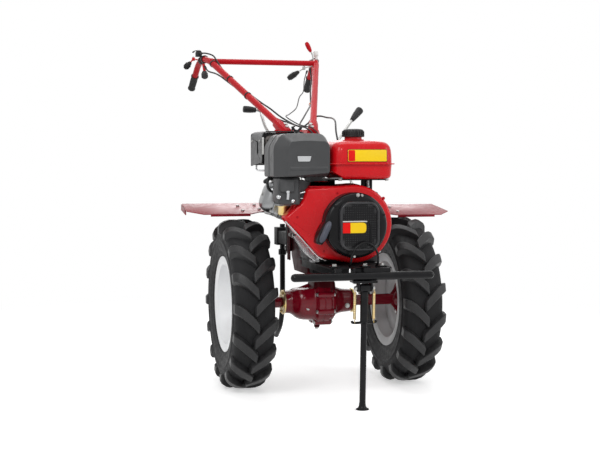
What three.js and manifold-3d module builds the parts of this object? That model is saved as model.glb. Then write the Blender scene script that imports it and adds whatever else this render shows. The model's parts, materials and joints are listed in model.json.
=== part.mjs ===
// Two-wheeled walking tractor, 13 hp class, parked on its tyres and its front stand.
// Millimetres, +Z up, the front faces -Y and the machine's left side is +X.
// Every piece is placed with Y = 0 at the wheel axle; the whole machine is then moved
// along Y by axleY, so that the origin is on the ground under the middle of its box.

import * as THREE from 'three';
import { mergeVertices } from 'three/addons/utils/BufferGeometryUtils.js';
import { RoundedBoxGeometry } from 'three/addons/geometries/RoundedBoxGeometry.js';
import Module from 'manifold-3d';

const wasm = await Module();
wasm.setup();

// ---- driving dimensions ----

const gap = 0.3;                 // clearance between pieces that are bolted together
const axleY = -376.5;             // where the wheel axle lies from the middle of the box

const wheel = { radius: 320, halfWidth: 81, track: 638, rimRadius: 180, rimHalf: 60.5 };
const axleZ = wheel.radius;

const crank = { x: 5, z: 638 };  // crankshaft centre, which runs fore and aft
const block = { front: -330, rear: -130, left: 125, right: -120, bottom: 494.3, top: 750 };
const cylinderTilt = 20;         // degrees that the cylinder rises towards the right
const headFront = -270;
const headRear = -140;
const shroudFront = -424;
const recoilFront = -482;

const tank = { left: 141, right: -81, front: -442, rear: -196, bottom: 796, seam: 849, top: 926 };
const cap = { x: 27, y: -320, radius: 40.5, bottom: 944, top: 973 };
const cleaner = { left: -95, right: -280, front: -446, rear: -246, bottom: 803, top: 957 };
const guard = { left: -112, right: -276, front: -184, rear: 4, bottom: 838, top: 967, wall: 3 };

const gearbox = { half: 76, front: -75, rear: 170, bottom: 430, top: 760 };
const ptoBoss = { z: 682, radius: 42, reach: 16 };
const finalDrive = { left: 116, right: -149 };
const frameDeck = { half: 112, front: -505, rear: -77, bottom: 482, top: 494 };
const bumper = { half: 256, y: -532, z: 466, radius: 14 };

const stand = { x: 6, pivotY: -526, pivotZ: 425, footY: -505, tube: 11, sleeve: 14, rodZ: 306, spring: 34, ear: 23 };

const fender = {
  outline: [[512, 170], [520, 10], [466, -57], [284, -57], [206, 20], [206, 170]],
  thickness: 3, tilt: 7.8, heightLeft: 656, heightRight: 667,
};

const bar = { pivotY: 250, pivotZ: 905, radius: 14, cornerX: 252, cornerY: 999, cornerZ: 1311 };
const armFoot = { x: 56, y: 334, z: 977 };
const gripStart = new THREE.Vector3(276, 1172, 1284);
const gripEnd = new THREE.Vector3(285, 1288, 1194);

const stake = { x: -39, y: 470, radius: 11 };

// ---- materials ----

const red = [0xc8101c, 0.28, 0.0];
const crimson = [0x8e0f22, 0.3, 0.0];
const black = [0x151515, 0.35, 0.0];
const darkPlastic = [0x3a3b3c, 0.55, 0.0];
const rubber = [0x242424, 0.85, 0.0];
const whitePaint = [0xe6e7e8, 0.4, 0.0];
const zinc = [0xc9a85a, 0.35, 0.8];
const steel = [0xa8abad, 0.35, 0.8];
const castAlloy = [0x9a9da0, 0.5, 0.7];

function part(name, geometry, [color, roughness, metalness]) {
  const mesh = new THREE.Mesh(clean(geometry), new THREE.MeshStandardMaterial({ color, roughness, metalness }));
  mesh.name = name;
  return mesh;
}

// ---- solids ----

// Keeps only merged positions, without the zero-area triangles at a pole.
function clean(geometry) {
  const bare = geometry.clone();
  bare.deleteAttribute('normal');
  bare.deleteAttribute('uv');
  const merged = mergeVertices(bare, 1e-3);
  const kept = [];
  const index = merged.index.array;
  for (let i = 0; i < index.length; i += 3) {
    const [a, b, c] = [index[i], index[i + 1], index[i + 2]];
    if (a !== b && b !== c && c !== a) kept.push(a, b, c);
  }
  merged.setIndex(kept);
  return merged;
}

function toSolid(geometry) {
  const merged = clean(geometry);
  return new wasm.Manifold(new wasm.Mesh({
    numProp: 3,
    vertProperties: new Float32Array(merged.attributes.position.array),
    triVerts: new Uint32Array(merged.index.array),
  }));
}

function toGeometry(solid) {
  const mesh = solid.getMesh();
  const geometry = new THREE.BufferGeometry();
  geometry.setAttribute('position', new THREE.BufferAttribute(mesh.vertProperties, 3));
  geometry.setIndex(Array.from(mesh.triVerts));
  return geometry;
}

function join(...geometries) {
  return toGeometry(geometries.map(toSolid).reduce((sum, next) => sum.add(next)));
}

function cut(geometry, ...tools) {
  return toGeometry(tools.map(toSolid).reduce((left, tool) => left.subtract(tool), toSolid(geometry)));
}

function box(x0, x1, y0, y1, z0, z1) {
  const geometry = new THREE.BoxGeometry(x1 - x0, y1 - y0, z1 - z0);
  return geometry.translate((x0 + x1) / 2, (y0 + y1) / 2, (z0 + z1) / 2);
}

function roundBox(x0, x1, y0, y1, z0, z1, radius) {
  const geometry = new RoundedBoxGeometry(x1 - x0, y1 - y0, z1 - z0, 1, radius);
  return geometry.translate((x0 + x1) / 2, (y0 + y1) / 2, (z0 + z1) / 2);
}

// An outline drawn in X and Z, thickened from yRear forward to yFront, with rounded rims.
function frontOutline(shape, yFront, yRear, rim = 0) {
  const geometry = new THREE.ExtrudeGeometry(shape, {
    depth: yRear - yFront - 2 * rim, curveSegments: 6, bevelEnabled: rim > 0,
    bevelSize: rim, bevelThickness: rim, bevelOffset: -rim, bevelSegments: 1,
  });
  return geometry.rotateX(Math.PI / 2).translate(0, yRear - rim, 0);
}

// An outline drawn in Y and Z, thickened along X.
function sideOutline(shape, x0, x1) {
  const geometry = new THREE.ExtrudeGeometry(shape, { depth: x1 - x0, curveSegments: 4, bevelEnabled: false });
  const axes = [new THREE.Vector3(0, 1, 0), new THREE.Vector3(0, 0, 1), new THREE.Vector3(1, 0, 0)];
  return geometry.applyMatrix4(new THREE.Matrix4().makeBasis(...axes)).translate(x0, 0, 0);
}

// An outline drawn in X and Y, thickened upwards.
function planOutline(shape, z0, z1) {
  const geometry = new THREE.ExtrudeGeometry(shape, { depth: z1 - z0, curveSegments: 4, bevelEnabled: false });
  return geometry.translate(0, 0, z0);
}

function polygon(points) {
  return new THREE.Shape(points.map(([u, v]) => new THREE.Vector2(u, v)));
}

function roundedRect(u0, u1, v0, v1, radius) {
  const shape = new THREE.Shape();
  shape.absarc(u1 - radius, v0 + radius, radius, -Math.PI / 2, 0);
  shape.absarc(u1 - radius, v1 - radius, radius, 0, Math.PI / 2);
  shape.absarc(u0 + radius, v1 - radius, radius, Math.PI / 2, Math.PI);
  shape.absarc(u0 + radius, v0 + radius, radius, Math.PI, 1.5 * Math.PI);
  return shape;
}

// A round bar between two points.
function rod(from, to, radius, sides = 16, endRadius = radius) {
  const a = new THREE.Vector3(...from);
  const b = new THREE.Vector3(...to);
  const along = b.clone().sub(a);
  const geometry = new THREE.CylinderGeometry(endRadius, radius, along.length(), sides);
  const turn = new THREE.Quaternion().setFromUnitVectors(new THREE.Vector3(0, 1, 0), along.normalize());
  return geometry.applyQuaternion(turn).translate(...a.add(b).multiplyScalar(0.5).toArray());
}

// A profile of [radius, distance along the axis] turned about X.
function turnedAboutX(profile, sides = 32) {
  const points = profile.map(([r, a]) => new THREE.Vector2(r, a));
  return new THREE.LatheGeometry(points, sides).rotateZ(-Math.PI / 2);
}

function turnedAboutZ(profile, sides = 32) {
  const points = profile.map(([r, a]) => new THREE.Vector2(r, a));
  return new THREE.LatheGeometry(points, sides).rotateX(Math.PI / 2);
}

function tube(curve, radius, steps, sides = 10) {
  const section = [];
  for (let i = 0; i < sides; i += 1) {
    const angle = (2 * Math.PI * i) / sides;
    section.push([radius * Math.cos(angle), radius * Math.sin(angle)]);
  }
  return new THREE.ExtrudeGeometry(polygon(section), { steps, extrudePath: curve, bevelEnabled: false });
}

function smooth(points) {
  return new THREE.CatmullRomCurve3(points.map((p) => new THREE.Vector3(...p)), false, 'centripetal');
}

// ---- wheels ----

const wheelSides = 28;

// In a wheel's own frame X = 0 is the middle of the tyre and +X faces outwards.
function wheelPieces(side, hubStart) {
  const bead = wheel.rimHalf - 0.5;
  const half = wheel.halfWidth;
  const tyreProfile = [
    [152.5, -bead], [180.5, -bead], [192, -71], [235, -half], [290, -78], [312, -62],
    [wheel.radius, -34], [wheel.radius, 34], [312, 62], [290, 78], [235, half], [192, 71],
    [180.5, bead], [152.5, bead], [152.5, -bead],
  ];
  const lip = wheel.rimHalf + 4;
  const rimProfile = [
    [30, 2], [72, 2], [100, -14], [146, -14], [146, -lip], [wheel.rimRadius, -lip],
    [wheel.rimRadius, -wheel.rimHalf], [152, -wheel.rimHalf], [152, wheel.rimHalf],
    [wheel.rimRadius, wheel.rimHalf], [wheel.rimRadius, lip], [146, lip], [146, -8], [102, -8],
    [74, 8], [30, 8], [30, 2],
  ];
  const hubProfile = [
    [0, hubStart - 10], [15, hubStart - 10], [15, hubStart], [21, hubStart], [21, -34], [30, -22],
    [30, -8], [68, -8], [68, 2 - gap], [30 - gap, 2 - gap], [30 - gap, 14], [24, 20], [24, 30], [0, 30],
  ];
  return [
    part(`tyre_${side}`, turnedAboutX(tyreProfile, wheelSides), rubber),
    part(`rim_${side}`, turnedAboutX(rimProfile, wheelSides), whitePaint),
    part(`axle_hub_${side}`, turnedAboutX(hubProfile, 16), crimson),
  ];
}

function wheelGroup(side, sign, housingEnd) {
  const group = new THREE.Group();
  const hubStart = Math.abs(housingEnd) + 13 - wheel.track / 2;
  group.add(...wheelPieces(side, hubStart));
  group.position.set((sign * wheel.track) / 2, 0, axleZ);
  group.rotation.z = sign > 0 ? 0 : Math.PI;
  return group;
}

// ---- final drive and gearbox ----

function differentialHousing() {
  const { left, right } = finalDrive;
  const bell = turnedAboutX([
    [0, right], [42, right], [43, right + 24], [52, right + 50], [66, right + 74], [74, -38],
    [88, -32], [88, 17], [80, 19], [80, 58], [66, 64], [50, 92], [42, left - 12], [42, left], [0, left],
  ], 20).translate(0, 0, axleZ);
  const drainBoss = rod([-24, -20, 226], [-24, -20, axleZ], 15);
  const neck = roundBox(-62, 34, -68, 62, axleZ + 20, gearbox.bottom - gap, 8);
  return join(bell, drainBoss, neck);
}

function bearingFlange(end, sign) {
  const outer = end + sign * 8;
  const ring = rod([end + sign * gap, 0, axleZ], [outer, 0, axleZ], 46, 24);
  return cut(ring, rod([end, 0, axleZ], [outer + sign, 0, axleZ], 20, 20));
}

function gearboxHousing() {
  const { front, rear, bottom, top, half } = gearbox;
  const shape = new THREE.Shape();
  shape.moveTo(front, bottom);
  shape.lineTo(rear - 45, bottom);
  shape.lineTo(rear, bottom + 60);
  shape.lineTo(rear, top - 35);
  shape.quadraticCurveTo(rear, top, rear - 35, top);
  shape.lineTo(front + 35, top);
  shape.lineTo(front, top - 30);
  return join(
    sideOutline(shape, -half, half),
    rod([0, front + 2, crank.z], [0, front - 20, crank.z], 96, 20),
    rod([0, rear - 10, ptoBoss.z], [0, rear + ptoBoss.reach, ptoBoss.z], ptoBoss.radius, 24),
  );
}

function clutchHousing() {
  return rod([0, gearbox.front - 20 - gap, crank.z], [0, block.rear + gap, crank.z], 112, 20, 104);
}

// ---- frame, bumper and stand ----

function engineFrame() {
  const { half, front, rear, bottom, top } = frameDeck;
  const deck = box(-half, half, front, rear, bottom + 8, top);
  const rails = [-1, 1].map((s) => box(s * 82 - 18, s * 82 + 18, front, rear, bottom - 18, bottom + 10));
  const tail = box(-gearbox.half + 6, gearbox.half - 6, rear - 60, rear, 440, bottom);
  return join(deck, ...rails, tail);
}

function frontBumper() {
  const { half, y, z, radius } = bumper;
  const ends = [];
  for (let i = 0; i <= 4; i += 1) {
    const angle = (Math.PI / 2) * (i / 4);
    ends.push([radius * Math.sin(angle), radius * Math.cos(angle)]);
  }
  const reach = half - radius;
  const profile = [
    ...ends.map(([r, a]) => [r, -reach - a]),
    ...ends.slice().reverse().map(([r, a]) => [r, reach + a]),
  ];
  const tubeBar = turnedAboutX(profile, 20).translate(0, y, z);
  const lugs = [[-98, -78], [-37, -28], [2, 98]].map(
    ([x0, x1]) => box(x0, x1, y, frameDeck.front - gap, z - 4, frameDeck.top),
  );
  return join(tubeBar, ...lugs);
}

function standBracket() {
  const { x, pivotY, pivotZ, ear } = stand;
  const plate = box(x - 42, x + 42, -545, -488, 443, bumper.z - bumper.radius - 1);
  const block = box(x - 34, x + 34, -500, -470, 443, frameDeck.bottom + 8 - gap);
  const ears = [-1, 1].map((s) => join(
    box(x + s * ear - 3, x + s * ear + 3, pivotY - 14, pivotY + 14, pivotZ, 446),
    rod([x + s * ear - 3, pivotY, pivotZ], [x + s * ear + 3, pivotY, pivotZ], 14),
  ));
  const pin = rod([x - 30, pivotY, pivotZ], [x + 30, pivotY, pivotZ], 6, 12);
  return join(plate, block, ...ears, pin);
}

// In the stand's own frame the pivot pin is the origin.
function standPieces() {
  const foot = stand.footY - stand.pivotY;
  const ground = -stand.pivotZ;
  const rodZ = stand.rodZ - stand.pivotZ;
  const rodY = (foot * rodZ) / ground;
  const sleeveCut = rod([-40, 0, 0], [40, 0, 0], 7, 16);
  const legPieces = [
    rod([-18, 0, 0], [18, 0, 0], 15, 20),
    rod([0, 0, 0], [0, rodY, rodZ], stand.sleeve),
    rod([0, rodY, rodZ], [0, foot, ground + 12], stand.tube),
    rod([0, foot, ground], [0, foot, ground + 24], 24, 20, 12),
    rod([-44, rodY, rodZ], [44, rodY, rodZ], 5, 10),
  ];
  const springs = [-1, 1].map((s) => {
    const name = s > 0 ? 'stand_spring_left' : 'stand_spring_right';
    return part(name, rod([s * stand.spring, 0, -9], [s * stand.spring, rodY, rodZ + 5 + gap], 6, 12), zinc);
  });
  return [part('front_stand', cut(join(...legPieces), sleeveCut), black), ...springs];
}

// ---- engine ----

// A box in the cylinder's own frame: u runs from the crankshaft out to the head, v across it.
function alongCylinder(u0, u1, halfV, y0, y1, radius) {
  const geometry = roundBox(-u1, -u0, y0, y1, -halfV, halfV, radius);
  return geometry.rotateY(THREE.MathUtils.degToRad(cylinderTilt)).translate(crank.x, 0, crank.z);
}

function engineBlock() {
  const { left, right, front, rear, bottom, top } = block;
  return join(
    roundBox(right, left, front, rear, bottom, top, 14),
    alongCylinder(40, 214, 64, headFront, headRear, 6),
  );
}

function rockerCover() {
  return join(
    alongCylinder(252, 262, 58, headFront + 8, headRear - 8, 4.5),
    alongCylinder(254, 300, 50, headFront + 16, headRear - 16, 18),
  );
}

function fanShroud() {
  const shape = new THREE.Shape();
  shape.moveTo(-236, 652);
  shape.lineTo(-122, 528);
  shape.quadraticCurveTo(-92, 512, -47, 512);
  shape.absarc(4, 639, 137, -1.95, 1.72);
  shape.lineTo(-152, 766);
  shape.quadraticCurveTo(-150, 726, -174, 706);
  shape.lineTo(-240, 667);
  return frontOutline(shape, shroudFront, block.front - gap, 7);
}

function recoilCover() {
  const drum = new THREE.Shape();
  drum.absellipse(-7, 637, 112.5, 114, 0, 2 * Math.PI);
  const grille = roundedRect(-73, 69, 550, 720, 38);
  return join(
    frontOutline(drum, recoilFront, shroudFront - gap, 10),
    frontOutline(grille, recoilFront - 22, recoilFront + 12, 6),
    roundBox(-142, -90, recoilFront + 2, shroudFront - gap, 590, 646, 9),
  );
}

function starterHandle() {
  const y = recoilFront - 14;
  return join(
    rod([-109, y, 652], [-141, y, 582], 11, 14),
    rod([-125, y, 617], [-125, recoilFront + 2 - gap, 617], 7, 12),
  );
}

function fuelTank() {
  const { left, right, front, rear, bottom, seam, top } = tank;
  const shell = new THREE.Shape();
  shell.moveTo(right + 42, bottom + 7);
  shell.lineTo(left - 24, bottom);
  shell.quadraticCurveTo(left - 5, bottom, left - 3, bottom + 20);
  shell.lineTo(left, seam);
  shell.lineTo(left - 3, top - 26);
  shell.quadraticCurveTo(left - 8, top - 5, left - 42, top - 2);
  shell.quadraticCurveTo(cap.x, top + 22, right + 40, top - 2);
  shell.quadraticCurveTo(right + 8, top - 5, right + 3, top - 26);
  shell.lineTo(right, seam);
  shell.lineTo(right + 2, bottom + 34);
  const flange = planOutline(roundedRect(right - 10, left + 12, front - 8, rear + 8, 28), seam - 2, seam + 2);
  const neck = rod([cap.x, cap.y, top - 20], [cap.x, cap.y, cap.bottom], 31, 24);
  return join(frontOutline(shell, front, rear, 8), flange, neck);
}

function fuelCap() {
  const { x, y, radius, bottom, top } = cap;
  const profile = [[0, bottom + gap], [radius, bottom + gap], [radius, top - 6], [radius - 6, top], [0, top]];
  return turnedAboutZ(profile, 28).translate(x, y, 0);
}

function tankBracket() {
  const under = tank.bottom - gap;
  const plate = box(-64, 118, -410, -232, under - 4, under);
  const legs = [-48, 92].map((x) => box(x - 14, x + 14, -300, -250, block.top + gap, under - 2));
  return join(plate, ...legs);
}

function airCleaner() {
  const { left, right, front, rear, bottom, top } = cleaner;
  const shape = new THREE.Shape();
  shape.moveTo(right + 10, bottom);
  shape.lineTo(left - 12, bottom);
  shape.quadraticCurveTo(left, bottom, left, bottom + 12);
  shape.lineTo(left, top - 32);
  shape.quadraticCurveTo(left - 4, top - 12, left - 26, top - 6);
  shape.quadraticCurveTo(left - 90, top + 6, right + 40, top - 8);
  shape.quadraticCurveTo(right + 6, top - 14, right, top - 40);
  shape.lineTo(right, bottom + 14);
  return frontOutline(shape, front, rear, 5);
}

function intakeHousing() {
  const under = cleaner.bottom - gap;
  return join(
    roundBox(-270, -188, -402, -330, 708, under, 6),
    box(-250, -190, -336, headFront - gap, 742, 782),
  );
}

function carburettor() {
  return join(
    roundBox(-250, -176, -326, headFront - 2, 700, 738, 6),
    rod([-222, -299.5, 664], [-222, -299.5, 706], 23, 16),
  );
}

function muffler() {
  const { left, right, front, rear, bottom, top } = guard;
  const inset = 10;
  const elbow = smooth([
    [-196, -70, bottom + 30], [-196, -70, 800], [-198, -84, 764], [-200, -112, 750], [-200, headRear + 5, 750],
  ]);
  return join(
    roundBox(right + inset, left - inset, front + inset, rear - inset, bottom + 8, top - inset, 20),
    tube(elbow, 19, 10, 10),
  );
}

function mufflerGuard() {
  const { left, right, front, rear, bottom, top, wall } = guard;
  const outside = roundBox(right, left, front, rear, bottom, top, 12);
  const hollow = roundBox(right + wall, left - wall, front + wall, rear - wall, bottom - 30, top - wall, 9);
  return cut(outside, hollow);
}

function breatherHose() {
  const route = smooth([
    [-240, -266, 792], [-258, -265, 796], [-273, -262, 793], [-280, -256, 788], [-279, -246, 784],
    [-270, -238, 783],
  ]);
  return tube(route, 6, 14, 8);
}

// ---- fenders ----

// The plates dip towards the front; each is drawn flat about the axle line, then tilted.
function fenderPlate(side) {
  const sign = side === 'left' ? 1 : -1;
  const height = side === 'left' ? fender.heightLeft : fender.heightRight;
  const corners = fender.outline.map(([x, y]) => [sign * x, y]);
  const plate = planOutline(polygon(sign > 0 ? corners : corners.reverse()), 0, fender.thickness);
  const [x0, x1] = sign > 0 ? [290, 440] : [-440, -290];
  const lip = box(x0, x1, -57, -54, -7, 1);
  const flap = box(sign > 0 ? 513 : -516, sign > 0 ? 516 : -513, 60, 168, -22, 1);
  const tilt = THREE.MathUtils.degToRad(fender.tilt);
  return join(plate, lip, flap).rotateX(tilt).translate(0, 0, height);
}

function fenderSupport(side) {
  const sign = side === 'left' ? 1 : -1;
  const height = (side === 'left' ? fender.heightLeft : fender.heightRight) - gap - 1;
  const tilt = THREE.MathUtils.degToRad(fender.tilt);
  const inner = sign * (gearbox.half + gap);
  const outer = sign * 340;
  const [x0, x1] = sign > 0 ? [inner, outer] : [outer, inner];
  const bars = [16, 108].map((y) => box(x0, x1, y, y + 26, -6, 0));
  const tie = box(sign > 0 ? 178 : -200, sign > 0 ? 200 : -178, 20, 130, -6, 0);
  return join(...bars, tie).rotateX(tilt).translate(0, 0, height);
}

// ---- handlebar ----

function handlebarColumn() {
  const { pivotY, pivotZ } = bar;
  const foot = gearbox.top + gap;
  const post = sideOutline(polygon([[20, foot], [118, foot], [228, 862], [196, 892], [150, 868]]), -30, 30);
  const ears = [-1, 1].map((s) => join(
    sideOutline(polygon([[120, 790], [160, 790], [268, 890], [240, 922], [150, 862]]), s * 37 - 5, s * 37 + 5),
    rod([s * 37 - 5, pivotY, pivotZ], [s * 37 + 5, pivotY, pivotZ], 26, 20),
  ));
  const web = box(-40, 40, 130, 165, 792, 842);
  const pin = rod([-48, pivotY, pivotZ], [48, pivotY, pivotZ], 8, 12);
  return join(post, ...ears, web, pin);
}

function yoke() {
  const { pivotY, pivotZ } = bar;
  const slope = Math.atan2(bar.cornerZ - armFoot.z, bar.cornerY - armFoot.y);
  const barrel = rod([-26, 0, 0], [26, 0, 0], 22, 16);
  const plate = planOutline(
    polygon([[-26, -92], [26, -92], [26, -50], [90, 0], [94, 46], [-94, 46], [-90, 0], [-26, -50]]), -21, -14.3,
  );
  plate.rotateX(slope).translate(0, armFoot.y - pivotY, armFoot.z - pivotZ);
  return cut(join(barrel, plate), rod([-40, 0, 0], [40, 0, 0], 9.5, 12)).translate(0, pivotY, pivotZ);
}

function armCurve(sign) {
  const foot = new THREE.Vector3(sign * armFoot.x, armFoot.y, armFoot.z);
  const corner = new THREE.Vector3(sign * bar.cornerX, bar.cornerY, bar.cornerZ);
  const start = gripStart.clone().setX(sign * gripStart.x);
  const beforeCorner = corner.clone().lerp(foot, 0.06);
  const afterCorner = new THREE.Vector3(sign * 262, 1060, 1318);
  const path = new THREE.CurvePath();
  path.add(new THREE.LineCurve3(foot, beforeCorner));
  path.add(new THREE.QuadraticBezierCurve3(beforeCorner, corner, afterCorner));
  const intoGrip = start.clone().sub(gripEnd.clone().setX(sign * gripEnd.x)).multiplyScalar(0.38).add(start);
  path.add(new THREE.QuadraticBezierCurve3(afterCorner, intoGrip, start));
  return path;
}

function handlebarArm(sign, radius = bar.radius) {
  return tube(armCurve(sign), radius, 16, 12);
}

function crossbar() {
  const { cornerX, cornerY, cornerZ } = bar;
  const straight = rod([-cornerX, cornerY - 22, cornerZ - 8], [cornerX, cornerY - 22, cornerZ - 8], 12.5, 14);
  return cut(straight, handlebarArm(1, bar.radius + gap), handlebarArm(-1, bar.radius + gap));
}

function grip(sign) {
  const start = gripStart.clone().setX(sign * gripStart.x);
  const end = gripEnd.clone().setX(sign * gripEnd.x);
  const along = end.clone().sub(start).normalize();
  const from = start.clone().addScaledVector(along, gap + 0.4);
  return rod(from.toArray(), end.toArray(), 17, 16, 18);
}

// A lever is a flat arm from its clamp to a rubber sleeve at the free end.
function lever(clamp, bend, tip, sleeveRadius = 10) {
  const sleeveStart = new THREE.Vector3(...bend).lerp(new THREE.Vector3(...tip), 0.25).toArray();
  return join(
    rod(clamp, bend, 7, 10),
    rod(bend, tip, 6, 10),
    rod(sleeveStart, tip, sleeveRadius, 14, sleeveRadius * 0.8),
  );
}

// ---- levers, hitch and stake ----

function shiftLever() {
  const route = smooth([
    [-50, 112, 766], [-51, 118, 780], [-58, 200, 830], [-84, 380, 930], [-100, 500, 989], [-88, 640, 1047],
    [-74, 728, 1071], [-86, 746, 1077], [-112, 748, 1079],
  ]);
  return join(tube(route, 6.5, 26, 8), rod([-90, 748, 1077], [-148, 748, 1081], 13, 12, 15));
}

function selectorLever() {
  const route = smooth([[52, 62, 765], [53, 66, 784], [58, 92, 845], [88, 124, 915], [122, 150, 955], [190, 218, 1024]]);
  return join(tube(route, 5.5, 18, 8), rod([184, 212, 1018], [232, 250, 1064], 10, 12, 16));
}

function rearHitch() {
  const { rear } = gearbox;
  const { x, y, radius } = stake;
  const pad = box(-96, 66, rear + gap, rear + 14, 500, 610);
  const drawbar = box(x - 25, x + 25, rear + 12, y - 20, 515, 565);
  const gusset = box(x - 45, x + 45, rear + 12, rear + 90, 505, 516);
  const socket = box(x - 29, x + 29, y - 26, y + 28, 505, 578);
  return cut(join(pad, drawbar, gusset, socket), rod([x, y, 490], [x, y, 600], radius + gap, 20));
}

function depthStake() {
  const { x, y, radius } = stake;
  const route = smooth([
    [x, y, 592], [x, y, 500], [x, y, 400], [x, y, 300], [x, y + 8, 226], [x, y + 40, 162], [x, y + 112, 106],
  ]);
  return join(tube(route, radius, 18, 10), rod([x, y, 462], [x, y, 486], 17, 14));
}

// ---- cables ----

const cableRoutes = {
  steering_cable_right: [
    [-262, 1050, 1284], [-256, 1000, 1261], [-234, 930, 1245], [-220, 880, 1229], [-205, 840, 1210],
    [-186, 800, 1188], [-136, 672, 1128], [-94, 532, 1058], [-60, 452, 1028], [-12, 372, 1003],
    [-34, 320, 988], [-56, 270, 940], [-70, 220, 872], [-74, 180, 812], [-74, 164, 770],
  ],
  steering_cable_left: [
    [236, 1050, 1284], [232, 1010, 1240], [198, 900, 1172], [172, 800, 1108], [140, 705, 1088],
    [80, 560, 1046], [22, 415, 1000], [30, 350, 992], [44, 300, 970], [56, 262, 926],
    [58, 220, 868], [58, 180, 812], [58, 164, 770],
  ],
  clutch_cable: [
    [222, 1050, 1272], [191, 980, 1228], [165, 900, 1170], [126, 820, 1140], [80, 700, 1086],
    [18, 580, 1054], [-20, 480, 1040], [-2, 400, 1014], [8, 345, 1002], [48, 296, 986], [72, 262, 942],
    [74, 220, 880], [74, 180, 816], [74, 150, 770],
  ],
  throttle_cable: [
    [-279, 1082, 1346], [-262, 1024, 1343], [-236, 976, 1328], [-226, 952, 1306], [-208, 918, 1268], [-172, 808, 1202],
    [-136, 690, 1148], [-104, 590, 1104], [-80, 514, 1074], [-36, 476, 1034], [36, 452, 998],
    [72, 476, 1012], [104, 506, 1040], [124, 480, 1044], [133, 400, 1036], [128, 300, 1030],
    [112, 200, 1014], [88, 100, 962], [86, 20, 872], [84, -70, 806], [80, -138, 772],
  ],
};

// ---- assembly ----

function chassisPieces() {
  return [
    part('differential_housing', differentialHousing(), crimson),
    part('bearing_flange_left', bearingFlange(finalDrive.left, 1), zinc),
    part('bearing_flange_right', bearingFlange(finalDrive.right, -1), zinc),
    part('gearbox_housing', gearboxHousing(), crimson),
    part('clutch_housing', clutchHousing(), black),
    part('engine_frame', engineFrame(), black),
    part('front_bumper', frontBumper(), black),
    part('stand_bracket', standBracket(), black),
    part('fender_left', fenderPlate('left'), red),
    part('fender_right', fenderPlate('right'), red),
    part('fender_support_left', fenderSupport('left'), black),
    part('fender_support_right', fenderSupport('right'), black),
    part('handlebar_column', handlebarColumn(), black),
    part('shift_lever', shiftLever(), steel),
    part('selector_lever', selectorLever(), steel),
    part('rear_hitch', rearHitch(), black),
    part('depth_stake', depthStake(), black),
  ];
}

function enginePieces() {
  return [
    part('engine_block', engineBlock(), castAlloy),
    part('cylinder_head', alongCylinder(214 + gap, 252 - gap, 62, headFront + 4, headRear - 4, 5), castAlloy),
    part('rocker_cover', rockerCover(), steel),
    part('fan_shroud', fanShroud(), red),
    part('recoil_cover', recoilCover(), black),
    part('starter_handle', starterHandle(), darkPlastic),
    part('fuel_tank', fuelTank(), red),
    part('fuel_cap', fuelCap(), black),
    part('tank_bracket', tankBracket(), black),
    part('air_cleaner_cover', airCleaner(), darkPlastic),
    part('intake_housing', intakeHousing(), darkPlastic),
    part('carburettor', carburettor(), zinc),
    part('muffler', muffler(), steel),
    part('muffler_guard', mufflerGuard(), black),
    part('breather_hose', breatherHose(), rubber),
  ];
}

function handlebarPieces() {
  const pieces = [
    part('handlebar_yoke', yoke(), red),
    part('handlebar_arm_left', handlebarArm(1), red),
    part('handlebar_arm_right', handlebarArm(-1), red),
    part('handlebar_crossbar', crossbar(), red),
    part('grip_left', grip(1), rubber),
    part('grip_right', grip(-1), rubber),
    part('outer_lever_right', lever([-292, 1094, 1318], [-302, 1140, 1326], [-338, 1160, 1280]), black),
    part('inner_lever_right', lever([-264, 1076, 1296], [-258, 1090, 1284], [-252, 1112, 1232]), black),
    part('inner_lever_left', lever([248, 1072, 1296], [214, 1084, 1288], [142, 1104, 1236], 11), black),
    part('stop_lever', lever([238, 1002, 1325.6], [230, 1000, 1350], [204, 1000, 1402], 8), red),
    part('throttle_block', roundBox(-296, -268, 1084, 1112, 1332.5, 1362, 4), black),
  ];
  for (const [name, route] of Object.entries(cableRoutes)) {
    pieces.push(part(name, tube(smooth(route), 3.5, 30, 8), rubber));
  }
  return pieces;
}

function standGroup() {
  const group = new THREE.Group();
  group.add(...standPieces());
  group.position.set(stand.x, stand.pivotY, stand.pivotZ);
  return group;
}

const tractor = new THREE.Group();
tractor.add(...chassisPieces(), ...enginePieces(), ...handlebarPieces());
tractor.add(wheelGroup('left', 1, finalDrive.left), wheelGroup('right', -1, finalDrive.right));
tractor.add(standGroup());
tractor.position.y = axleY;

export default tractor;
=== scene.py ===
import json
import math

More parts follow.
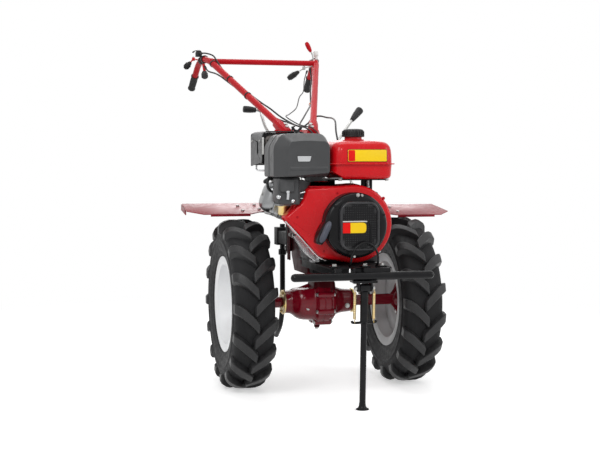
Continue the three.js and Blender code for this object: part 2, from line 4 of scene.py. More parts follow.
import bmesh
import bpy
from mathutils import Matrix, Quaternion, Vector
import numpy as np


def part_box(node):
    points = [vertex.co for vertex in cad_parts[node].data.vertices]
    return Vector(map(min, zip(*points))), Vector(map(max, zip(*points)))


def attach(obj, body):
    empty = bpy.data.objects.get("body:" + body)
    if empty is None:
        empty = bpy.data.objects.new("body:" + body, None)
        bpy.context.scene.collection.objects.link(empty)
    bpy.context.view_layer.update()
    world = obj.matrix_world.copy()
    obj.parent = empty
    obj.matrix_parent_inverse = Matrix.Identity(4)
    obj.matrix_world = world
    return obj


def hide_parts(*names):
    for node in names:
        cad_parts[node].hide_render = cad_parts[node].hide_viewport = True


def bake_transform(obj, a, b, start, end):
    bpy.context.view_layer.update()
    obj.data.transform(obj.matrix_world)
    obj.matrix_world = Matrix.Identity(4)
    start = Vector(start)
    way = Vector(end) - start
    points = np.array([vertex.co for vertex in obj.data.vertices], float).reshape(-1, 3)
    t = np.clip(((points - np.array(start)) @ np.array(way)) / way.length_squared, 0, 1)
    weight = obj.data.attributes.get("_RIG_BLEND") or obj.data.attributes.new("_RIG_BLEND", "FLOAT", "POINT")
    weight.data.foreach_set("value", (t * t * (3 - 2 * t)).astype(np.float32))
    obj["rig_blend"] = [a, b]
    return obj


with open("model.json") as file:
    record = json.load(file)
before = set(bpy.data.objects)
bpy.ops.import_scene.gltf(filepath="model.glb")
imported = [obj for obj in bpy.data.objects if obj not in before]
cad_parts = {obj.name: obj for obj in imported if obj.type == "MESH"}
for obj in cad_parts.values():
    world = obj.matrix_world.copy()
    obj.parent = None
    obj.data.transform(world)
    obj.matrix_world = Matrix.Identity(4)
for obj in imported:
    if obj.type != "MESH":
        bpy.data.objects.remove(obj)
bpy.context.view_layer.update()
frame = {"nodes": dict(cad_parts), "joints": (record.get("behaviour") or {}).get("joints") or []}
scene = bpy.context.scene
joints = {joint["name"]: joint for joint in frame["joints"]}
print("frame loaded,", len(frame["nodes"]), "nodes")

# Shapes are worked out in millimetres, with y counted from the wheel axle.
axleY = joints["wheel_left_spin"]["pos_m"][1] * 1000
axleZ = joints["wheel_left_spin"]["pos_m"][2] * 1000
trackHalf = joints["wheel_left_spin"]["pos_m"][0] * 1000
xAxis, yAxis, zAxis = Vector((1, 0, 0)), Vector((0, 1, 0)), Vector((0, 0, 1))


def cadEdges(node):
    # x0, x1, y0, y1, z0, z1 of a CAD node, in millimetres
    low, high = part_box(node)
    edges = []
    for i in range(3):
        shift = axleY if i == 1 else 0
        edges += [low[i] * 1000 - shift, high[i] * 1000 - shift]
    return edges


# Camera, light and floor.

cameraSet = {"place": (-1.2574, -4.8714, 0.879), "turn": 14.6137, "dip": 3.2707, "lens": 73.17}
lightSet = {
    "world": 0.55,
    "softboxes": [  # name, place, aim, size, watts
        ("keyBox", (-2.6, -3.6, 3.4), (0.0, -0.4, 0.6), 1.6, 66),
        ("stripBox", (-0.9, -4.4, 3.0), (0.0, -0.6, 0.5), 0.5, 20),
        ("fillBox", (3.4, -2.6, 2.2), (0.0, -0.3, 0.6), 2.4, 46),
        ("topBox", (0.0, 0.2, 4.2), (0.0, 0.0, 0.5), 2.4, 44),
        ("rearBox", (0.8, 4.2, 2.6), (0.0, 0.2, 0.6), 2.6, 42),
    ],
}
floorSet = {
    "reach": 40.0, "fadeFrom": 1.0, "fadeTo": 2.6, "sheet": (0.86, 0.86, 0.86, 1), "lift": 0.46,
    "bounce": (0.8, 0.8, 0.8, 1),
}


def addObject(name, data):
    thing = bpy.data.objects.new(name, data)
    scene.collection.objects.link(thing)
    return thing


def setCamera():
    data = bpy.data.cameras.new("camera")
    data.lens = cameraSet["lens"]
    data.sensor_width = 36
    camera = addObject("camera", data)
    camera.location = cameraSet["place"]
    camera.rotation_euler = (math.radians(90 - cameraSet["dip"]), 0, math.radians(-cameraSet["turn"]))
    scene.camera = camera


def setLights():
    for name, place, aim, size, watts in lightSet["softboxes"]:
        data = bpy.data.lights.new(name, "AREA")
        data.shape = "SQUARE"
        data.size = size
        data.energy = watts
        lamp = addObject(name, data)
        lamp.location = place
        lamp.rotation_euler = (Vector(aim) - Vector(place)).to_track_quat("-Z", "Y").to_euler()


def fill(node, inputs):
    # Each input takes a plain value or another node's output.
    for label, value in inputs.items():
        if isinstance(value, bpy.types.NodeSocket):
            node.id_data.links.new(value, node.inputs[label])
        else:
            node.inputs[label].default_value = value
    return node


def addNode(tree, kind, inputs=None, **settings):
    node = tree.nodes.new(kind)
    for setting, value in settings.items():
        setattr(node, setting, value)
    return fill(node, inputs or {})


def addMath(tree, operation, *values, **settings):
    settings["operation"] = operation
    return addNode(tree, "ShaderNodeMath", dict(enumerate(values)), **settings).outputs[0]


def seenOrMirrored(tree):
    # 1 for rays that show the background directly, in gloss or through glass
    path = addNode(tree, "ShaderNodeLightPath").outputs
    direct = addMath(tree, "MAXIMUM", path["Is Camera Ray"], path["Is Glossy Ray"])
    return addMath(tree, "MAXIMUM", direct, path["Is Transmission Ray"])


def setWorld():
    world = bpy.data.worlds.new("studio")
    world.use_nodes = True
    tree = world.node_tree
    tree.nodes.clear()
    lit = addNode(tree, "ShaderNodeBackground", {"Color": (1, 1, 1, 1), "Strength": lightSet["world"]})
    seen = addNode(tree, "ShaderNodeBackground", {"Color": (1, 1, 1, 1), "Strength": 1.0})
    mix = addNode(tree, "ShaderNodeMixShader", {
        0: seenOrMirrored(tree), 1: lit.outputs[0], 2: seen.outputs[0]})
    addNode(tree, "ShaderNodeOutputWorld", {"Surface": mix.outputs[0]})
    scene.world = world


def setFloor():
    # White paper sweep: it fades from a shadow catching sheet under the machine to plain white.
    mesh = bpy.data.meshes.new("floor")
    reach = floorSet["reach"]
    corners = [(-reach, -reach, 0), (reach, -reach, 0), (reach, reach, 0), (-reach, reach, 0)]
    mesh.from_pydata(corners, [], [(0, 1, 2, 3)])
    floor = addObject("floor", mesh)
    paper = bpy.data.materials.new("floorPaper")
    paper.use_nodes = True
    tree = paper.node_tree
    tree.nodes.clear()
    place = addNode(tree, "ShaderNodeTexCoord").outputs["Object"]
    away = addNode(tree, "ShaderNodeVectorMath", {0: place}, operation="LENGTH").outputs["Value"]
    fade = addNode(tree, "ShaderNodeMapRange", {
        "Value": away, "From Min": floorSet["fadeFrom"], "From Max": floorSet["fadeTo"],
    }, interpolation_type="SMOOTHSTEP")
    sheet = addNode(tree, "ShaderNodeBsdfDiffuse", {"Color": floorSet["sheet"]})
    lift = addNode(tree, "ShaderNodeEmission", {"Strength": floorSet["lift"]})
    near = addNode(tree, "ShaderNodeAddShader", {0: sheet.outputs[0], 1: lift.outputs[0]})
    white = addNode(tree, "ShaderNodeEmission", {"Strength": 1.0})
    seen = addNode(tree, "ShaderNodeMixShader", {
        0: fade.outputs["Result"], 1: near.outputs[0], 2: white.outputs[0]})
    bounce = addNode(tree, "ShaderNodeBsdfDiffuse", {"Color": floorSet["bounce"]})
    either = addNode(tree, "ShaderNodeMixShader", {
        0: seenOrMirrored(tree), 1: bounce.outputs[0], 2: seen.outputs[0]})
    addNode(tree, "ShaderNodeOutputMaterial", {"Surface": either.outputs[0]})
    mesh.materials.append(paper)


scene.view_settings.view_transform = "Standard"
setCamera()
setLights()
setWorld()
setFloor()
print("camera, light and floor ready")


# Finishes.

def newGroup(name, inputs, outputs):
    group = bpy.data.node_groups.new(name, "ShaderNodeTree")
    for label, kind, value in inputs:
        socket = group.interface.new_socket(label, in_out="INPUT", socket_type=kind)
        socket.default_value = value
    for label, kind in outputs:
        group.interface.new_socket(label, in_out="OUTPUT", socket_type=kind)
    return group, group.nodes.new("NodeGroupInput").outputs


def makeAgedSkin():
    # Colour that drifts in patches, gathers dust on top faces and rubs through along edges; on the tyres the
    # pale dust is partly a painted highlight.
    colour, number = "NodeSocketColor", "NodeSocketFloat"
    group, given = newGroup("agedSkin", [
        ("Base", colour, (0.5, 0.5, 0.5, 1)), ("Shade", colour, (0.3, 0.3, 0.3, 1)),
        ("Patch Scale", number, 6.0), ("Dust", colour, (0.5, 0.47, 0.42, 1)), ("Dust Amount", number, 0.0),
        ("Wear", colour, (0.5, 0.5, 0.5, 1)), ("Wear Amount", number, 0.0),
        ("Roughness", number, 0.4), ("Roughness Spread", number, 0.1),
    ], [("Color", colour), ("Roughness", number)])

    def noise(detail, factor):
        scale = addMath(group, "MULTIPLY", given["Patch Scale"], factor)
        inputs = {"Vector": place, "Scale": scale, "Detail": detail}
        return addNode(group, "ShaderNodeTexNoise", inputs).outputs["Fac"]

    def ramp(value, low, high):
        inputs = {"Value": value, "From Min": low, "From Max": high}
        return addNode(group, "ShaderNodeMapRange", inputs).outputs["Result"]

    def times(a, b):
        return addMath(group, "MULTIPLY", a, b)

    def mixed(factor, a, b):
        inputs = {"Factor": factor, "A": a, "B": b}
        return addNode(group, "ShaderNodeMix", inputs, data_type="RGBA").outputs["Result"]

    place = addNode(group, "ShaderNodeTexCoord").outputs["Object"]
    geometry = addNode(group, "ShaderNodeNewGeometry").outputs
    upward = addNode(group, "ShaderNodeSeparateXYZ", {0: geometry["Normal"]}).outputs["Z"]
    patches = ramp(noise(4.0, 1.0), 0.35, 0.68)
    speckle = ramp(noise(8.0, 7.0), 0.38, 0.66)
    dust = times(times(speckle, ramp(upward, -0.5, 1.0)), given["Dust Amount"])
    edges = ramp(geometry["Pointiness"], 0.53, 0.6)
    wear = times(times(edges, speckle), given["Wear Amount"])
    skin = mixed(patches, given["Base"], given["Shade"])
    dusty = mixed(dust, skin, given["Dust"])
    dull = addMath(group, "ADD", given["Roughness"], times(speckle, given["Roughness Spread"]))
    addNode(group, "NodeGroupOutput", {
        "Color": mixed(wear, dusty, given["Wear"]),
        "Roughness": addMath(group, "ADD", dull, dust, use_clamp=True)})
    return group


def makeFineGrain():
    # Height of a cast, moulded or drawn surface; Stretch draws the grain out along an axis.
    number = "NodeSocketFloat"
    group, given = newGroup("fineGrain", [
        ("Scale", number, 400.0), ("Stretch", "NodeSocketVector", (1, 1, 1)), ("Pits", number, 0.3),
    ], [("Height", number)])
    place = addNode(group, "ShaderNodeTexCoord").outputs["Object"]
    drawn = addNode(group, "ShaderNodeVectorMath", {0: place, 1: given["Stretch"]}, operation="MULTIPLY")
    inputs = {"Vector": drawn.outputs[0], "Scale": given["Scale"]}
    grain = addNode(group, "ShaderNodeTexNoise", {**inputs, "Detail": 3.0}).outputs["Fac"]
    cells = addNode(group, "ShaderNodeTexVoronoi", inputs).outputs["Distance"]
    pits = addMath(group, "MULTIPLY", cells, given["Pits"])
    addNode(group, "NodeGroupOutput", {"Height": addMath(group, "ADD", grain, pits)})
    return group


agedSkin = makeAgedSkin()
fineGrain = makeFineGrain()

# Every finish: the record's slot it belongs to, base and shade colour, roughness, and what is special to it.
finishes = {
    "redEnamel": dict(
        slot="red_paint", base=(0.60, 0.004, 0.009), shade=(0.53, 0.003, 0.007), rough=0.22, coat=0.1,
        specular=0.2, dust=0.02, wear=0.04, wearColour=(0.75, 0.3, 0.3), grain=90, bump=0.02),
    "tubeEnamel": dict(
        slot="red_paint", base=(0.46, 0.005, 0.011), shade=(0.40, 0.003, 0.009), rough=0.3, specular=0.14,
        dust=0.01, grain=90, bump=0.01),
    "fenderEnamel": dict(
        slot="red_paint", base=(0.25, 0.007, 0.016), shade=(0.20, 0.005, 0.012), rough=0.28, specular=0.2,
        dust=0.04, wear=0.06, wearColour=(0.5, 0.25, 0.25), grain=60, bump=0.015),
    "crimsonEnamel": dict(
        slot="crimson_paint", base=(0.21, 0.002, 0.012), shade=(0.15, 0.001, 0.008), rough=0.14, coat=0.2,
        specular=0.25, dust=0.01, wear=0.05, wearColour=(0.45, 0.15, 0.17), grain=260, pits=0.6, bump=0.12),
    "blackEnamel": dict(
        slot="black_paint", base=(0.006, 0.006, 0.007), shade=(0.009, 0.009, 0.010), rough=0.2,
        specular=0.16, dust=0.01, wear=0.04, wearColour=(0.09, 0.09, 0.09), grain=140, bump=0.03),
    "frameBlack": dict(
        slot="black_paint", base=(0.009, 0.009, 0.010), shade=(0.014, 0.014, 0.015), rough=0.42,
        specular=0.06, dust=0.01, wear=0.04, wearColour=(0.09, 0.09, 0.09), grain=300, pits=0.4, bump=0.06),
    # Crimson darkened nearly to black: painted shade for the gearbox case, its covers and the drive neck,
    # which sit in shadow.
    "shadedCaseEnamel": dict(
        slot="crimson_paint", base=(0.06, 0.002, 0.005), shade=(0.035, 0.001, 0.003), rough=0.34,
        specular=0.06, dust=0.01, grain=260, pits=0.6, bump=0.1),
    "pressedSteel": dict(
        slot="bright_steel", base=(0.30, 0.305, 0.31), shade=(0.20, 0.205, 0.21), rough=0.26, metal=1.0,
        dust=0.03, grain=60, bump=0.04),
    "satinBlack": dict(
        slot="black_paint", base=(0.008, 0.008, 0.009), shade=(0.013, 0.013, 0.014), rough=0.4,
        specular=0.25, dust=0.02, wear=0.06, wearColour=(0.09, 0.09, 0.09), grain=420, pits=0.4, bump=0.1),
    "coverPlastic": dict(
        slot="dark_plastic", base=(0.060, 0.061, 0.063), shade=(0.050, 0.051, 0.053), rough=0.36,
        specular=0.26, dust=0.02, wear=0.1, wearColour=(0.19, 0.19, 0.195), grain=700, pits=0.5, bump=0.12),
    "handleGrey": dict(
        slot="dark_plastic", base=(0.055, 0.062, 0.085), shade=(0.045, 0.05, 0.07), rough=0.36,
        specular=0.4, dust=0.02, wear=0.08, wearColour=(0.2, 0.22, 0.26), grain=600, bump=0.1),
    "gripRubber": dict(
        slot="black_rubber", base=(0.012, 0.012, 0.012), shade=(0.018, 0.018, 0.018), rough=0.5,
        specular=0.3, dust=0.04, wear=0.06, wearColour=(0.06, 0.06, 0.06), grain=700, pits=0.6, bump=0.2),
    # Tyre rubbers: the pale dust on top faces is partly real dust and partly a painted highlight on the
    # shoulders and sidewalls.
    "tyreRubber": dict(
        slot="tyre_rubber", base=(0.015, 0.015, 0.016), shade=(0.023, 0.023, 0.024), rough=0.5, patch=11,
        specular=0.12, dust=0.06, dustColour=(0.09, 0.09, 0.09), wear=0.3, wearColour=(0.07, 0.07, 0.07),
        grain=320, pits=0.7, bump=0.3),
    "lugRubber": dict(
        slot="tyre_rubber", base=(0.017, 0.017, 0.018), shade=(0.026, 0.026, 0.027), rough=0.38, patch=11,
        specular=0.3, dust=0.08, dustColour=(0.11, 0.11, 0.11), wear=0.4, wearColour=(0.09, 0.09, 0.09),
        grain=320, pits=0.7, bump=0.25),
    "cableSheath": dict(
        slot="black_rubber", base=(0.010, 0.010, 0.011), shade=(0.016, 0.016, 0.016), rough=0.36,
        specular=0.3, dust=0.03, grain=500, bump=0.06),
    "clipOrange": dict(
        slot="dark_plastic", base=(0.62, 0.14, 0.02), shade=(0.5, 0.1, 0.02), rough=0.4, grain=500,
        bump=0.08),
    "wheelWhite": dict(
        slot="white_paint", base=(0.90, 0.91, 0.92), shade=(0.85, 0.86, 0.87), rough=0.34, patch=4,
        specular=0.45, dust=0.05, wear=0.05, wearColour=(0.35, 0.34, 0.33), grain=160, bump=0.03),
    # Grey copy of the wheel white: painted shade for the inboard side of the rims.
    "wheelShadeGrey": dict(
        slot="white_paint", base=(0.50, 0.505, 0.51), shade=(0.42, 0.425, 0.43), rough=0.4, patch=4,
        dust=0.1, wear=0.1, wearColour=(0.5, 0.5, 0.5), grain=160, bump=0.05),
    "stampedSteel": dict(
        slot="bright_steel", base=(0.62, 0.63, 0.64), shade=(0.48, 0.49, 0.50), rough=0.2, metal=1.0,
        dust=0.03, grain=60, stretch=(1, 14, 1), bump=0.04),
    "boltSteel": dict(
        slot="bright_steel", base=(0.46, 0.46, 0.45), shade=(0.34, 0.34, 0.33), rough=0.3, metal=1.0,
        patch=40, dust=0.06, grain=900, bump=0.08),
    "yellowZinc": dict(
        slot="zinc_plate", base=(0.74, 0.54, 0.20), shade=(0.64, 0.54, 0.34), rough=0.28, metal=1.0,
        patch=24, dust=0.04, grain=300, bump=0.05),
    "castAlloy": dict(
        slot="cast_alloy", base=(0.42, 0.425, 0.43), shade=(0.30, 0.305, 0.31), rough=0.46, metal=0.85,
        patch=14, dust=0.12, grain=380, pits=0.8, bump=0.3),
    "hotSteel": dict(
        slot="bright_steel", base=(0.16, 0.15, 0.14), shade=(0.10, 0.09, 0.085), rough=0.5, metal=0.9,
        patch=14, dust=0.06, grain=300, pits=0.5, bump=0.2),
    "labelYellow": dict(
        slot="red_paint", base=(0.88, 0.60, 0.01), shade=(0.84, 0.55, 0.01), rough=0.35, specular=0.2,
        grain=200, bump=0.02),
    "labelRed": dict(
        slot="red_paint", base=(0.74, 0.008, 0.006), shade=(0.68, 0.006, 0.005), rough=0.35, specular=0.15,
        grain=200, bump=0.02),
    # Cast alloy darkened nearly to black: painted shade for the crankcase and clutch housing under the
    # cowling.
    "shadedDarkAlloy": dict(
        slot="cast_alloy", base=(0.045, 0.046, 0.048), shade=(0.025, 0.025, 0.026), rough=0.45, metal=0.4,
        patch=14, specular=0.3, dust=0.05, grain=380, pits=0.8, bump=0.25),
    "guardGrey": dict(
        slot="black_paint", base=(0.022, 0.022, 0.025), shade=(0.016, 0.016, 0.018), rough=0.25,
        specular=0.4, dust=0.02, grain=200, bump=0.03),
    "paleKnob": dict(
        slot="dark_plastic", base=(0.72, 0.72, 0.70), shade=(0.6, 0.6, 0.58), rough=0.4, grain=500,
        bump=0.05),
}


def makeFinish(name, slot, base, shade, rough, metal=0.0, coat=0.0, specular=0.5, patch=6.0, dust=0.0,
               dustColour=(0.42, 0.40, 0.37), wear=0.0, wearColour=(0.5, 0.5, 0.5),
               grain=300.0, stretch=(1, 1, 1), pits=0.2, bump=0.1):
    material = bpy.data.materials.new(name)
    material.use_nodes = True
    material.diffuse_color = (*base, 1)
    tree = material.node_tree
    skin = addNode(tree, "ShaderNodeGroup", {
        "Base": (*base, 1), "Shade": (*shade, 1), "Dust": (*dustColour, 1), "Wear": (*wearColour, 1),
        "Patch Scale": patch, "Dust Amount": dust, "Wear Amount": wear,
        "Roughness": rough, "Roughness Spread": 0.3 * rough}, node_tree=agedSkin)
    surface = addNode(tree, "ShaderNodeGroup", {"Scale": grain, "Stretch": stretch, "Pits": pits},
                      node_tree=fineGrain)
    relief = addNode(tree, "ShaderNodeBump", {
        "Strength": bump, "Distance": 0.002, "Height": surface.outputs["Height"]})
    fill(tree.nodes["Principled BSDF"], {
        "Metallic": metal, "Coat Weight": coat, "Coat Roughness": 0.08, "Specular IOR Level": specular,
        "Base Color": skin.outputs["Color"], "Roughness": skin.outputs["Roughness"],
        "Normal": relief.outputs["Normal"]})
    return material


paint = {name: makeFinish(name, **values) for name, values in finishes.items()}
print(len(paint), "finishes ready")


# Shapes.

toRow = Matrix.Scale(0.001, 4) @ Matrix.Translation((0, axleY, 0))


def arc(u, v, radius, start, end, steps):
    angles = [start + (end - start) * i / steps for i in range(steps + 1)]
    return [(u + radius * math.cos(a), v + radius * math.sin(a)) for a in angles]


def roundedRect(u0, u1, v0, v1, radius, steps=6):
    quarter = math.pi / 2
    corners = [(u1 - radius, v0 + radius, -quarter), (u1 - radius, v1 - radius, 0),
               (u0 + radius, v1 - radius, quarter), (u0 + radius, v0 + radius, math.pi)]
    return [point for u, v, a in corners for point in arc(u, v, radius, a, a + quarter, steps)]


def smoothPath(points, perSpan=8):
    # A centripetal Catmull-Rom line through the points.
    points = [Vector(p) for p in points]
    points = [points[0] * 2 - points[1]] + points + [points[-1] * 2 - points[-2]]
    line = []
    for i in range(1, len(points) - 2):
        p = points[i - 1:i + 3]
        t = [0.0]
        for a, b in zip(p, p[1:]):
            t.append(t[-1] + max((b - a).length, 1e-6) ** 0.5)
        for k in range(perSpan):
            s = t[1] + (t[2] - t[1]) * k / perSpan
            a = [p[j] + (p[j + 1] - p[j]) * ((s - t[j]) / (t[j + 1] - t[j])) for j in range(3)]
            b = [a[j] + (a[j + 1] - a[j]) * ((s - t[j]) / (t[j + 2] - t[j])) for j in range(2)]
            line.append(b[0] + (b[1] - b[0]) * ((s - t[1]) / (t[2] - t[1])))
    line.append(points[-2])
    return line


def addLoops(bm, loops, closed=False, capped=True):
    # Quads between loops of points; each loop is a ring.
    rings = [[bm.verts.new(p) for p in loop] for loop in loops]
    pairs = list(zip(rings, rings[1:]))
    if closed:
        pairs.append((rings[-1], rings[0]))
    for here, there in pairs:
        for i in range(len(here)):
            j = (i + 1) % len(here)
            bm.faces.new((here[i], here[j], there[j], there[i]))
    if capped and not closed:
        bm.faces.new(list(reversed(rings[0])))
        bm.faces.new(rings[-1])
    return rings


def addTurned(bm, profile, centre, axis, sides=64, closed=False):
    # A profile of (radius, distance along the axis) turned about the axis.
    along = Vector(axis).normalized()
    side = along.orthogonal().normalized()
    other = along.cross(side)
    loops = []
    for k in range(sides):
        angle = math.tau * k / sides
        spoke = side * math.cos(angle) + other * math.sin(angle)
        loops.append([bm.verts.new(Vector(centre) + along * a + spoke * r) for r, a in profile])
    count = len(profile) if closed else len(profile) - 1
    for k in range(sides):
        here, there = loops[k], loops[(k + 1) % sides]
        for i in range(count):
            j = (i + 1) % len(profile)
            bm.faces.new((here[i], here[j], there[j], there[i]))


def addRod(bm, start, end, radius, sides=28, endRadius=None, edge=1.0):
    start, end = Vector(start), Vector(end)
    reach = (end - start).length
    last = radius if endRadius is None else endRadius
    profile = [(0, 0), (radius - edge, 0), (radius, edge), (last, reach - edge), (last - edge, reach),
               (0, reach)]
    addTurned(bm, profile, start, end - start, sides)


def addPrism(bm, outline, axis, low, high):
    # An outline in the other two axes, thickened along the named axis.
    place = "xyz".index(axis)
    addLoops(bm, [[(*point[:place], w, *point[place:]) for point in outline] for w in (low, high)])


def addBox(bm, x0, x1, y0, y1, z0, z1):
    addPrism(bm, [(x0, y0), (x1, y0), (x1, y1), (x0, y1)], "z", z0, z1)


def addSweep(bm, path, radii, sides=20, flat=1.0, up=zAxis):
    # Rings of given radii along a path; flat squeezes them towards the up direction.
    path = [Vector(p) for p in path]
    loops = []
    for i, point in enumerate(path):
        along = (path[min(i + 1, len(path) - 1)] - path[max(i - 1, 0)]).normalized()
        side = along.cross(up).normalized()
        rise = side.cross(along)
        angles = [math.tau * k / sides for k in range(sides)]
        r = radii[i]
        loops.append([point + side * (r * math.cos(a)) + rise * (r * flat * math.sin(a)) for a in angles])
    addLoops(bm, loops)


def settle(name, mesh, finish, body="root", bevel=0.0, segments=2, sharp=38, replaces=(), angle=30):
    # Turns a finished mesh into a piece of the object that rides on a body.
    thing = addObject(name, mesh)
    mesh.materials.clear()
    mesh.materials.append(paint[finish])
    mesh.shade_smooth()
    if bevel:
        modifier = thing.modifiers.new("softEdges", "BEVEL")
        modifier.width = bevel / 1000
        modifier.segments = segments
        modifier.limit_method = "ANGLE"
        modifier.angle_limit = math.radians(angle)
        modifier.harden_normals = True
    else:
        mesh.set_sharp_from_angle(angle=math.radians(sharp))
    if body:
        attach(thing, body)
    if replaces:
        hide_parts(*replaces)
    return thing


def closedMesh(name, bm, merge=1e-3):
    # Welds what touches, faces everything outwards and uses the bmesh up.
    bmesh.ops.remove_doubles(bm, verts=bm.verts, dist=merge)
    bmesh.ops.recalc_face_normals(bm, faces=bm.faces)
    mesh = bpy.data.meshes.new(name)
    bm.to_mesh(mesh)
    bm.free()
    return mesh


def piece(name, bm, finish, body="root", **values):
    mesh = closedMesh(name, bm)
    mesh.transform(toRow)
    return settle(name, mesh, finish, body, **values)


def turned(name, finish, profile, centre, axis, sides=64, closed=False, body="root", **values):
    # A piece that is one turned profile.
    bm = bmesh.new()
    addTurned(bm, profile, centre, axis, sides, closed)
    return piece(name, bm, finish, body, **values)


def refined(node, name, finish, body="root", bevel=1.5, **values):
    # A CAD node's own shape with whole faces and soft edges.
    bm = bmesh.new()
    bm.from_mesh(frame["nodes"][node].data)
    bmesh.ops.remove_doubles(bm, verts=bm.verts, dist=1e-5)
    bmesh.ops.dissolve_limit(bm, angle_limit=math.radians(1.0), verts=bm.verts, edges=bm.edges)
    mesh = closedMesh(name, bm, merge=1e-5)
    return settle(name, mesh, finish, body, bevel=bevel, replaces=[node], **values)


# Trees that repeat a shape or follow a path.

def newTree(name, inputs):
    tree = bpy.data.node_groups.new(name, "GeometryNodeTree")
    tree.interface.new_socket("Geometry", in_out="INPUT", socket_type="NodeSocketGeometry")
    for label, kind, value in inputs + [("Material", "Material", None)]:
        socket = tree.interface.new_socket(label, in_out="INPUT", socket_type="NodeSocket" + kind)
        if value is not None:
            socket.default_value = value
    tree.interface.new_socket("Geometry", in_out="OUTPUT", socket_type="NodeSocketGeometry")
    return tree, tree.nodes.new("NodeGroupInput").outputs


def closeTree(tree, given, made):
    real = addNode(tree, "GeometryNodeRealizeInstances", {"Geometry": made}).outputs[0]
    coat = addNode(tree, "GeometryNodeSetMaterial", {"Geometry": real, "Material": given["Material"]})
    addNode(tree, "NodeGroupOutput", {"Geometry": coat.outputs[0]})
    return tree


def instances(tree, given, points, **inputs):
    shape = addNode(tree, "GeometryNodeObjectInfo", {"Object": given["Shape"]}).outputs["Geometry"]
    return addNode(tree, "GeometryNodeInstanceOnPoints",
                   {"Points": points, "Instance": shape, **inputs}).outputs[0]


def sweepCurve(tree, line, ring):
    inputs = {"Curve": line.outputs[0], "Profile Curve": ring.outputs[0], "Fill Caps": True}
    return addNode(tree, "GeometryNodeCurveToMesh", inputs).outputs[0]


def makeRingTree():
    tree, given = newTree("ringOfShapes", [
        ("Shape", "Object", None), ("Count", "Int", 8), ("Centre", "Vector", (0, 0, 0)),
        ("Axis", "Vector", (1, 0, 0)), ("Start", "Float", 0.0), ("Step", "Float", 0.1)])
    points = addNode(tree, "GeometryNodePoints", {"Count": given["Count"], "Position": given["Centre"]})
    index = addNode(tree, "GeometryNodeInputIndex").outputs[0]
    angle = addMath(tree, "MULTIPLY_ADD", index, given["Step"], given["Start"])
    turn = addNode(tree, "FunctionNodeAxisAngleToRotation", {"Axis": given["Axis"], "Angle": angle})
    return closeTree(tree, given, instances(tree, given, points.outputs[0], Rotation=turn.outputs[0]))


def makeRowTree():
    tree, given = newTree("rowOfShapes", [
        ("Shape", "Object", None), ("Count", "Int", 8), ("Step", "Vector", (0, 0, 1))])
    index = addNode(tree, "GeometryNodeInputIndex").outputs[0]
    place = addNode(tree, "ShaderNodeVectorMath", {0: given["Step"], "Scale": index}, operation="SCALE")
    points = addNode(tree, "GeometryNodePoints", {"Count": given["Count"], "Position": place.outputs[0]})
    return closeTree(tree, given, instances(tree, given, points.outputs[0]))


def makeBoltTree():
    # Stands a bolt on each vertex, along its facing, scaled by its grade and turned at random.
    tree, given = newTree("boltField", [("Shape", "Object", None), ("Seed", "Int", 3)])
    named = "GeometryNodeInputNamedAttribute"
    facing = addNode(tree, named, {"Name": "facing"}, data_type="FLOAT_VECTOR").outputs["Attribute"]
    grade = addNode(tree, named, {"Name": "grade"}, data_type="FLOAT").outputs["Attribute"]
    chance = addNode(tree, "FunctionNodeRandomValue", {3: math.tau, "Seed": given["Seed"]}, data_type="FLOAT")
    spin = addNode(tree, "FunctionNodeAxisAngleToRotation", {"Axis": (0, 0, 1), "Angle": chance.outputs[1]})
    aim = addNode(tree, "FunctionNodeAlignRotationToVector", {"Rotation": spin.outputs[0], "Vector": facing},
                  axis="Z")
    made = instances(tree, given, given["Geometry"], Rotation=aim.outputs[0], Scale=grade)
    return closeTree(tree, given, made)


def makeTubeTree():
    tree, given = newTree("tubeAlongPath", [("Radius", "Float", 5.0), ("Sides", "Int", 16)])
    line = addNode(tree, "GeometryNodeMeshToCurve", {"Mesh": given["Geometry"]})
    ring = addNode(tree, "GeometryNodeCurvePrimitiveCircle", {
        "Resolution": given["Sides"], "Radius": given["Radius"]})
    return closeTree(tree, given, sweepCurve(tree, line, ring))


def makeSpringTree():
    tree, given = newTree("coilSpring", [
        ("Turns", "Float", 20.0), ("Radius", "Float", 6.0), ("Length", "Float", 100.0),
        ("Wire", "Float", 1.0)])
    spiral = addNode(tree, "GeometryNodeCurveSpiral", {
        "Resolution": 14, "Rotations": given["Turns"], "Start Radius": given["Radius"],
        "End Radius": given["Radius"], "Height": given["Length"]})
    ring = addNode(tree, "GeometryNodeCurvePrimitiveCircle", {"Resolution": 7, "Radius": given["Wire"]})
    return closeTree(tree, given, sweepCurve(tree, spiral, ring))


